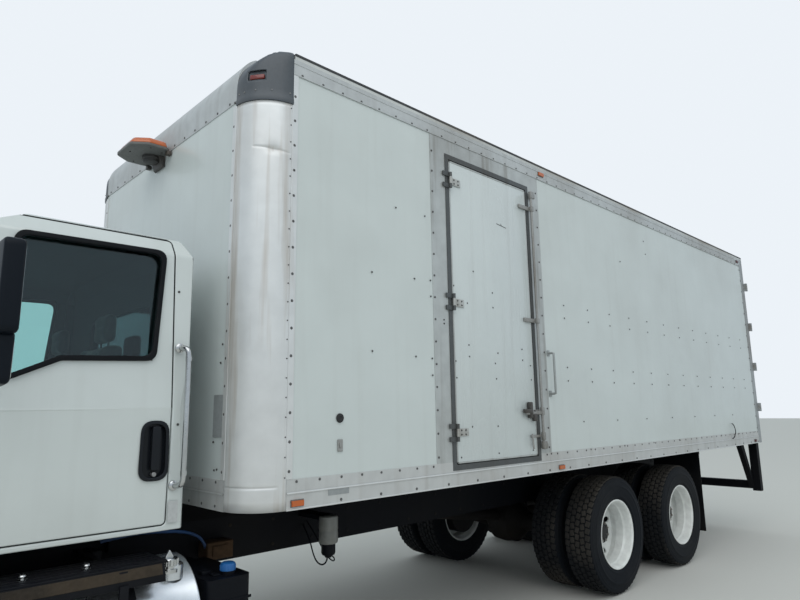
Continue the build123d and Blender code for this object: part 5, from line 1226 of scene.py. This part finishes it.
braces = [moulding([brace_line], *ends, 0.004, (1, 0, 0), (0, 0, 1))
          for ends in ((-1.162, -1.108), (1.108, 1.162))]
fit(gather("guard_braces", braces), frame_black, "chassis", "guard_steel")
hold_back = tube([(-4.290, 1.296, 1.410), (-4.292, 1.314, 1.404), (-4.318, 1.322, 1.340),
                  (-4.322, 1.322, 1.300), (-4.292, 1.318, 1.262), (-4.262, 1.312, 1.232),
                  (-4.260, 1.296, 1.226)], 0.0055, 10, round_order=3)
fit(hold_back, frame_black, "chassis", "black_steel").name = "side_hold_back"


# Under the body: the wood floor seen from below, dark with dirt and painted shade, its steel sills, and black
# rubber flaps.
# The floor node's lower faces take a near-black that is dirt and painted shade of the underside, its upper
# faces bare worn boards.
floor_under_dirt_and_shade = finish("floor_underside", (0.005, 0.005, 0.006), dirt=(0.03, 0.025, 0.02), dust=0.15,
                     mottle=0.4, grain=12, gloss=0.8, shine=0.12)
floor_boards = finish("floor_boards", (0.20, 0.125, 0.07), dirt=(0.08, 0.06, 0.04), dust=0.4, mottle=0.5,
                      grain=14, gloss=0.6, bump=0.2, bump_depth=0.001)
floor_mesh = cad_nodes["body_floor"].data
floor_mesh.materials.clear()
floor_mesh.materials.append(floor_under_dirt_and_shade)
floor_mesh.materials.append(floor_boards)
# Lower faces: near-black dirt with painted shade of the underside; upward faces above 1.2 m: brown boards.
for face in floor_mesh.polygons:
    face.material_index = int(face.normal.z > 0.5 and face.center.z > 1.2)
flap_rubber = finish("flap_rubber", (0.006, 0.007, 0.009), dirt=(0.06, 0.05, 0.04), dust=0.2, mottle=0.4,
                     grain=8, gloss=0.6, shine=0.12, low_dirt=0.4, dirt_height=0.6, bump=0.3,
                     bump_depth=0.003)
dress(flap_rubber, "mud_flaps")


# Fuel tank: a polished drum with domed ends, and a bright vented cap on its shoulder.
# The drum is spun with its rolled seams; the cap is turned on its neck, with knurls and a peak set on it.
tank_metal = finish("tank_polished", (0.66, 0.69, 0.72), dirt=(0.22, 0.19, 0.16), dust=0.25, mottle=0.25,
                    grain=9, gloss=0.24, metal=0.9, low_dirt=0.25, dirt_height=0.6, bump=0.05,
                    bump_depth=0.001)
tank_line = [(2.5302, 0.0), (2.5302, 0.100), (2.5325, 0.200), (2.5360, 0.262), (2.5400, 0.288),
             (2.5390, 0.296), (2.5375, 0.3020), (2.5400, 0.3048), (2.5460, 0.3050), (2.5500, 0.3035),
             (3.0850, 0.3035), (3.0870, 0.3045), (3.0930, 0.3045), (3.0950, 0.3035), (3.6300, 0.3035),
             (3.6340, 0.3050), (3.6400, 0.3048), (3.6425, 0.3020), (3.6410, 0.296), (3.6400, 0.288),
             (3.6440, 0.262), (3.6475, 0.200), (3.6498, 0.100), (3.6498, 0.0)]
tank_y, tank_z = 0.800, 0.615
tank = spun([(x, tank_y, tank_z + r) for x, r in tank_line], (0, tank_y, tank_z), (1, 0, 0), 96, smooth=35)
neck_line = ((0.052, 0.840), (0.052, 0.905), (0.046, 0.912), (0.0, 0.912))
neck = spun([(2.640 + r, 0.970, z) for r, z in neck_line], (2.640, 0.970, 0), (0, 0, 1), 36)
fit(gather("tank_skin", [tank, neck]), tank_metal, "chassis", "tank_aluminium", "fuel_tank")
cap_x, cap_y = 2.664, 0.985
cap_line = ((0.0, 0.9440), (0.026, 0.9435), (0.0390, 0.9410), (0.0420, 0.9360), (0.0420, 0.9080),
            (0.0370, 0.9060), (0.0370, 0.8960), (0.0460, 0.8930), (0.0460, 0.8760), (0.0, 0.8760))
cap_parts = [spun([(cap_x + r, cap_y, z) for r, z in cap_line], (cap_x, cap_y, 0), (0, 0, 1), 40)]
for i in range(14):
    turn = 2 * math.pi * i / 14
    grip = (cap_x + 0.0415 * math.cos(turn), cap_y + 0.0415 * math.sin(turn))
    cap_parts.append(tube([(*grip, 0.9095), (*grip, 0.9385)], 0.0042, 8))
peak_line = rounded(((2.640, 0.942), (2.688, 0.942), (2.678, 0.958), (2.664, 0.981), (2.650, 0.958)), 0.005)
cap_parts.append(moulding([peak_line], -0.007, 0.007, 0.003, (1, 0, 0), (0, 0, 1), (0, cap_y, 0)))
fit(gather("fuel_cap", cap_parts), chrome, "chassis", "chrome_bar")


# Steps: black covers along both sides with tank straps and hangers, dirty treads and two bright knobs.
# Covers and lips are bevelled outlines that stand for the frame's steps; treads and knobs are laid on.
step_black = finish("step_black", (0.006, 0.007, 0.010), dirt=(0.07, 0.062, 0.054), dust=0.14, mottle=0.45,
                    grain=16, gloss=0.5, shine=0.12, bump=0.15, bump_depth=0.001)
tread_dirty = finish("tread_dirty", (0.022, 0.019, 0.016), dirt=(0.20, 0.145, 0.095), dust=0.55, mottle=0.9,
                     grain=55, gloss=0.85, shine=0.2, bump=0.6, bump_depth=0.002)
cover_line = rounded(((0.830, 0.942), (1.080, 0.942), (1.080, 0.955), (0.830, 0.955)), 0.004)
lip_line = rounded(((1.074, 0.868), (1.110, 0.868), (1.110, 0.900), (1.092, 0.944), (1.074, 0.951)), 0.005)
strip_line = ((1.1060, 0.9020), (1.1108, 0.9005), (1.1125, 0.9030), (1.0945, 0.9465), (1.0900, 0.9450))
knob_line = ((0.019, 0.954), (0.019, 0.962), (0.011, 0.965), (0.011, 0.972), (0.016, 0.975), (0.013, 0.980),
             (0.0, 0.982))
strap_line = ((-0.024, 0.9190), (-0.024, 0.9245), (-0.020, 0.9260), (0.020, 0.9260), (0.024, 0.9245),
              (0.024, 0.9190))
covers, treads, knobs = [], [], []
for hand in (1, -1):
    ends, lip_ends, strip_ends = (2.711, 3.640), (2.730, 3.640), (2.745, 3.625)
    if hand == -1:
        ends, lip_ends, strip_ends = [(-far, -near) for near, far in (ends, lip_ends, strip_ends)]
    covers.append(moulding([cover_line], *ends, 0.004, (0, hand, 0), (0, 0, 1)))
    covers.append(moulding([lip_line], *lip_ends, 0.004, (0, hand, 0), (0, 0, 1)))
    treads.append(moulding([strip_line], *strip_ends, 0.001, (0, hand, 0), (0, 0, 1)))
    for i in range(5):
        y = 0.858 + i * 0.042
        covers.append(slab(2.740, 3.610, hand * y, hand * (y + 0.012), 0.953, 0.9575, 0.0015, 1))
    for x in (2.919, 3.580):
        covers.append(slab(x - 0.020, x + 0.020, hand * 0.434, hand * 1.100, 0.908, 0.941, 0.004, 2))
        covers.append(slab(x - 0.020, x + 0.020, hand * 1.108, hand * 1.121, 0.480, 0.885, 0.003, 2))
        covers.append(slab(x - 0.020, x + 0.020, hand * 1.108, hand * 1.170, 0.480, 0.492, 0.003, 2))
    covers.append(slab(2.740, 3.600, hand * 1.112, hand * 1.180, 0.482, 0.504, 0.005, 2))
    for i in range(21):
        x = 2.755 + i * 0.040
        treads.append(slab(x, x + 0.014, hand * 1.118, hand * 1.174, 0.503, 0.5085, 0.001, 1))
    for x in (3.296, 3.046):
        knob = [(x + r, hand * 1.000, z) for r, z in knob_line]
        knobs.append(spun(knob, (x, hand * 1.000, 0), (0, 0, 1), 20))
for x in (2.860, 3.440):
    covers.append(spun([(x + dx, tank_y, z) for dx, z in strap_line], (0, tank_y, tank_z), (1, 0, 0), 64))
    covers.append(slab(x - 0.024, x + 0.024, 0.434, 0.560, 0.425, 0.940, 0.005, 2))
fit(gather("step_covers", covers), step_black, "chassis", "black_steel", "cab_steps")
fit(gather("step_treads", treads), tread_dirty, "chassis", "black_steel")
fit(gather("step_knobs", knobs), chrome, "chassis", "chrome_bar")


# Fluid tank behind the fuel tank: a black moulded body with ribs, and a blue screw cap.
# The body is the frame's own, as are the right side's box and the exhaust; the cap has ribs for grip.
tank_black = finish("fluid_black", (0.005, 0.006, 0.009), dirt=(0.04, 0.037, 0.034), dust=0.10, mottle=0.3,
                    grain=30, gloss=0.45, shine=0.12, bump=0.1, bump_depth=0.001)
blue_cap = finish("cap_blue", (0.020, 0.14, 0.42), dust=0.2, mottle=0.15, grain=50, gloss=0.35)
dress(tank_black, "fluid_tank", "right_side_box", "exhaust")
fluid_x, fluid_y = 2.355, 1.000
fluid_line = ((0.0, 0.874), (0.028, 0.873), (0.0365, 0.868), (0.0385, 0.860), (0.0385, 0.834), (0.036, 0.832),
              (0.0, 0.832))
cap_blue = [spun([(fluid_x + r, fluid_y, z) for r, z in fluid_line], (fluid_x, fluid_y, 0), (0, 0, 1), 32)]
for i in range(16):
    turn = 2 * math.pi * i / 16
    grip = (fluid_x + 0.038 * math.cos(turn), fluid_y + 0.038 * math.sin(turn))
    cap_blue.append(tube([(*grip, 0.836), (*grip, 0.862)], 0.0028, 6))
fit(gather("fluid_cap", cap_blue), blue_cap, "chassis", "black_plastic")
fluid_bits = [slab(2.262, 2.498, 1.0785, 1.0835, z, z + 0.014, 0.002, 1) for z in (0.500, 0.600, 0.700)]
fluid_bits += [slab(2.400, 2.440, 0.960, 1.010, 0.813, 0.825, 0.003, 2),
               slab(2.420, 2.470, 0.900, 0.950, 0.813, 0.835, 0.004, 2)]
fit(gather("fluid_ribs", fluid_bits), tank_black, "chassis", "black_plastic")


# Air dryer: a white spin-on canister on the rail with a dark cup below and two short wires into the frame.
# It is turned as one profile; the wires leave its foot and go back up behind the rail.
canister_paint = finish("canister_white", (0.22, 0.225, 0.215), dirt=(0.14, 0.11, 0.08), streaks=0.3,
                        dust=0.5, mottle=0.4, grain=30, gloss=0.4, low_dirt=0.3, dirt_height=1.0)
can_x, can_y = 1.480, 0.700
can_line = ((0.0, 0.9645), (0.052, 0.964), (0.060, 0.958), (0.0620, 0.948), (0.0620, 0.880), (0.0600, 0.874),
            (0.0600, 0.868), (0.0620, 0.862), (0.0620, 0.806), (0.0590, 0.796), (0.0500, 0.790), (0.0, 0.789))
can = spun([(can_x + r, can_y, z) for r, z in can_line], (can_x, can_y, 0), (0, 0, 1), 40)
fit(can, canister_paint, "chassis", "canister_white", "filter_canister").name = "canister_skin"
cup_line = ((0.0, 0.791), (0.046, 0.790), (0.046, 0.735), (0.040, 0.722), (0.026, 0.716), (0.020, 0.705),
            (0.0, 0.704))
cup = [spun([(can_x + r, can_y, z) for r, z in cup_line], (can_x, can_y, 0), (0, 0, 1), 32),
       slab(1.428, 1.532, 0.430, 0.690, 0.936, 0.966, 0.004, 2),
       tube([(1.480, 0.690, 0.722), (1.500, 0.720, 0.690), (1.530, 0.700, 0.660), (1.545, 0.640, 0.690),
             (1.520, 0.540, 0.820), (1.500, 0.440, 0.880)], 0.0050, 10, round_order=3),
       tube([(1.465, 0.690, 0.722), (1.440, 0.720, 0.700), (1.430, 0.690, 0.665), (1.440, 0.620, 0.700),
             (1.460, 0.520, 0.830), (1.470, 0.440, 0.900)], 0.0045, 10, round_order=3)]
fit(gather("canister_cup", cup), tank_black, "chassis", "black_plastic")


# Between tank and box: a rusty bracket on the rail and a blue air line plumbed to it, as the photo shows.
# The line is fixed at both ends, from the cab's underside over the tank to the bracket's elbow.
rust_brown = finish("bracket_rust", (0.085, 0.048, 0.026), dirt=(0.04, 0.028, 0.02), streaks=0.2, dust=0.5,
                    mottle=0.6, grain=40, gloss=0.85, shine=0.2, bump=0.4, bump_depth=0.001)
line_blue = finish("line_blue", (0.012, 0.055, 0.16), dust=0.25, mottle=0.2, grain=60, gloss=0.5, shine=0.3)
bracket = [slab(2.080, 2.246, 0.434, 0.556, 0.786, 0.884, 0.008, 3),
           slab(2.110, 2.216, 0.552, 0.566, 0.806, 0.864, 0.004, 2)]
fit(gather("rail_bracket", bracket), rust_brown, "chassis", "black_steel")
air_line = tube([(2.860, 0.600, 0.990), (2.700, 0.600, 1.010), (2.552, 0.600, 0.998), (2.420, 0.600, 0.982),
                 (2.320, 0.590, 0.942), (2.264, 0.550, 0.884), (2.236, 0.510, 0.850)], 0.0085, 12,
                round_order=3)
fit(air_line, line_blue, "chassis", "black_plastic").name = "air_line"


# Cab inside: grey pebbled dashboard, door and roof trims, and a leather-grained wheel on a leaning column.
# The wheel's rim and horn pad are turned round the column, and three flat spokes join them.
cab_plastic = finish("cab_plastic", (0.045, 0.048, 0.052), dirt=(0.09, 0.085, 0.08), dust=0.3, mottle=0.15,
                     grain=420, gloss=0.6, shine=0.25, bump=0.1, bump_depth=0.0002)
cab_lining = finish("cab_lining", (0.050, 0.052, 0.055), dirt=(0.08, 0.075, 0.07), dust=0.2, mottle=0.2,
                    grain=240, gloss=0.85, shine=0.2)
dress(cab_plastic, "cab_interior")
for skin in ("cab_shell_skin", "cab_door_left_skin", "cab_door_right_skin"):
    lined = bpy.data.objects[skin]
    lined.data.materials.append(cab_lining)
    for face in lined.data.polygons:
        inward = face.normal.dot(face.center - Vector((3.2, 0, 1.9))) < 0
        face.material_index = int(inward and abs(face.center.y) < 0.995 and face.center.z > 1.10)
wheel_grip = finish("wheel_grip", (0.012, 0.012, 0.013), dirt=(0.05, 0.045, 0.04), dust=0.2, mottle=0.2,
                    grain=300, gloss=0.5, bump=0.3, bump_depth=0.0004)
rim_line = []
for i in range(17):
    turn = 2 * math.pi * i / 16
    rim_line.append((0.212 + 0.0145 * math.cos(turn), 0.0165 * math.sin(turn)))
wheel_parts = [spun([(x, 0, z) for x, z in rim_line], (0, 0, 0), (0, 0, 1), 72, smooth=60)]
for i in range(3):
    spoke = slab(0.050, 0.205, -0.021, 0.021, -0.016, -0.004, 0.005, 3)
    spoke.data.transform(Matrix.Rotation(math.radians(90 + 120 * i), 4, "Z"))
    wheel_parts.append(spoke)
horn_line = ((0.0, 0.020), (0.045, 0.018), (0.066, 0.010), (0.074, -0.004), (0.072, -0.022), (0.030, -0.028),
             (0.0, -0.028))
wheel_parts.append(spun([(r, 0, z) for r, z in horn_line], (0, 0, 0), (0, 0, 1), 48))
wheel = gather("steering_wheel_skin", wheel_parts)
wheel.data.transform(Matrix.Translation((3.450, 0.430, 1.800)) @ Matrix.Rotation(math.radians(-32), 4, "Y"))
fit(wheel, wheel_grip, "steering_wheel", "black_plastic", "steering_wheel")


# Seats: two high-backed seats in grey woven cloth, each with cushion, back and headrest.
# Each pad is a rounded block blown up as cloth over its flat base, then stitched with sewn channels.
def padding(x0, x1, y0, y1, z0, z1, resting):
    """A puffed pad that fills the box; the vertices for which resting(point) is true stay put."""
    pad = slab(x0 + 0.012, x1 - 0.012, y0 + 0.012, y1 - 0.012, z0 + 0.006, z1 - 0.014, 0.028, 4, 60)
    pad.modifiers.new("even_mesh", "REMESH").mode = "VOXEL"
    pad.modifiers["even_mesh"].voxel_size = 0.010
    bpy.ops.object.modifier_apply(modifier="even_mesh")
    start = [point.co.copy() for point in pad.data.vertices]
    held = pad.vertex_groups.new(name="held")
    held.add([point.index for point in pad.data.vertices if resting(point.co)], 1.0, "ADD")
    cloth = pad.modifiers.new("puff", "CLOTH")
    cloth.settings.quality = 5
    cloth.settings.use_pressure = True
    cloth.settings.uniform_pressure_force = 4
    cloth.settings.effector_weights.gravity = 0
    cloth.settings.vertex_group_mass = "held"
    for step in range(1, 21):
        bpy.context.scene.frame_set(step)
    bpy.ops.object.modifier_apply(modifier="puff")
    bpy.context.scene.frame_set(1)
    for point, rest in zip(pad.data.vertices, start):
        moved = point.co - rest
        if moved.length > 0.014:
            point.co = rest + moved * (0.014 / moved.length)
    rounder = pad.modifiers.new("rounder", "SUBSURF")
    rounder.levels = 1
    bpy.ops.object.modifier_apply(modifier="rounder")
    return pad


def sewn(pad, lines, side):
    """Presses a channel 4 mm deep along each (axis, place) line on the side of the pad that faces side."""
    for point, around in zip(pad.data.vertices, [point.normal.copy() for point in pad.data.vertices]):
        facing = max(0.0, around.dot(side))
        for axis, place in lines:
            away = (point.co[axis] - place) / 0.007
            point.co -= around * (0.0045 * facing * math.exp(-away * away))


def woven(name, thread, gap):
    """Cloth of crossing ribs about 3 mm apart, with fuzz, worn patches and a soft sheen."""
    fabric = bpy.data.materials.new(name)
    fabric.use_nodes = True
    nodes, links = fabric.node_tree.nodes, fabric.node_tree.links
    shader = nodes["Principled BSDF"]
    place = nodes.new("ShaderNodeTexCoord")
    cross = nodes.new("ShaderNodeMath")
    cross.operation = "MULTIPLY"
    for socket, direction in enumerate(("X", "DIAGONAL")):
        rib = nodes.new("ShaderNodeTexWave")
        rib.bands_direction = direction
        rib.inputs["Scale"].default_value = 110
        rib.inputs["Distortion"].default_value = 0.4
        links.new(place.outputs["Object"], rib.inputs["Vector"])
        links.new(rib.outputs["Fac"], cross.inputs[socket])
    worn = nodes.new("ShaderNodeTexNoise")
    worn.inputs["Scale"].default_value = 9
    worn.inputs["Detail"].default_value = 6
    links.new(place.outputs["Object"], worn.inputs["Vector"])
    threads = nodes.new("ShaderNodeMix")
    threads.data_type = "RGBA"
    threads.inputs["A"].default_value = (*gap, 1)
    threads.inputs["B"].default_value = (*thread, 1)
    links.new(cross.outputs[0], threads.inputs["Factor"])
    patches = nodes.new("ShaderNodeMix")
    patches.data_type = "RGBA"
    patches.blend_type = "MULTIPLY"
    patches.inputs["Factor"].default_value = 0.35
    links.new(threads.outputs["Result"], patches.inputs["A"])
    links.new(worn.outputs["Color"], patches.inputs["B"])
    links.new(patches.outputs["Result"], shader.inputs["Base Color"])
    raised = nodes.new("ShaderNodeBump")
    raised.inputs["Strength"].default_value = 0.4
    raised.inputs["Distance"].default_value = 0.0008
    links.new(cross.outputs[0], raised.inputs["Height"])
    links.new(raised.outputs[0], shader.inputs["Normal"])
    shader.inputs["Roughness"].default_value = 0.9
    shader.inputs["Sheen Weight"].default_value = 0.3
    return fabric


seat_weave = woven("seat_weave", (0.060, 0.062, 0.066), (0.018, 0.019, 0.021))
side_vinyl = finish("seat_vinyl", (0.030, 0.031, 0.033), dirt=(0.07, 0.065, 0.06), dust=0.2, mottle=0.2,
                    grain=260, gloss=0.5, bump=0.3, bump_depth=0.0005)
pads = []
for name, box, rest, lines, side in (
        ("cushion", (2.850, 3.330, 0.190, 0.670, 1.432, 1.560), lambda point: point.z < 1.450,
         ((1, 0.300), (1, 0.560), (0, 3.210)), Vector((0, 0, 1))),
        ("back", (2.810, 2.930, 0.200, 0.660, 1.561, 2.020), lambda point: point.x < 2.828,
         ((1, 0.310), (1, 0.550), (2, 1.880)), Vector((1, 0, 0))),
        ("headrest", (2.812, 2.898, 0.310, 0.550, 2.022, 2.198), lambda point: point.x < 2.826,
         ((2, 2.110),), Vector((1, 0, 0)))):
    pad = padding(*box, rest)
    sewn(pad, lines, side)
    pad.name = f"seat_{name}_left"
    pads.append(pad)
seat_pitch = 0.860
for pad in list(pads):
    twin = pad.copy()
    twin.data = pad.data.copy()
    twin.name = pad.name.replace("left", "right")
    twin.data.transform(Matrix.Translation((0, -seat_pitch, 0)))
    bpy.context.scene.collection.objects.link(twin)
    pads.append(twin)
for pad in pads:
    fit(pad, seat_weave, "chassis", "seat_cloth", "seats")
    for face in pad.data.polygons:
        face.use_smooth = True
posts = []
for hand in (1, -1):
    for y in (0.370, 0.490):
        posts.append(tube([(2.852, hand * y, 1.990), (2.852, hand * y, 2.050)], 0.006, 12))
    posts.append(slab(2.870, 3.300, hand * 0.205, hand * 0.655, 1.424, 1.446, 0.006, 2))
fit(gather("seat_posts", posts), side_vinyl, "chassis", "black_plastic")
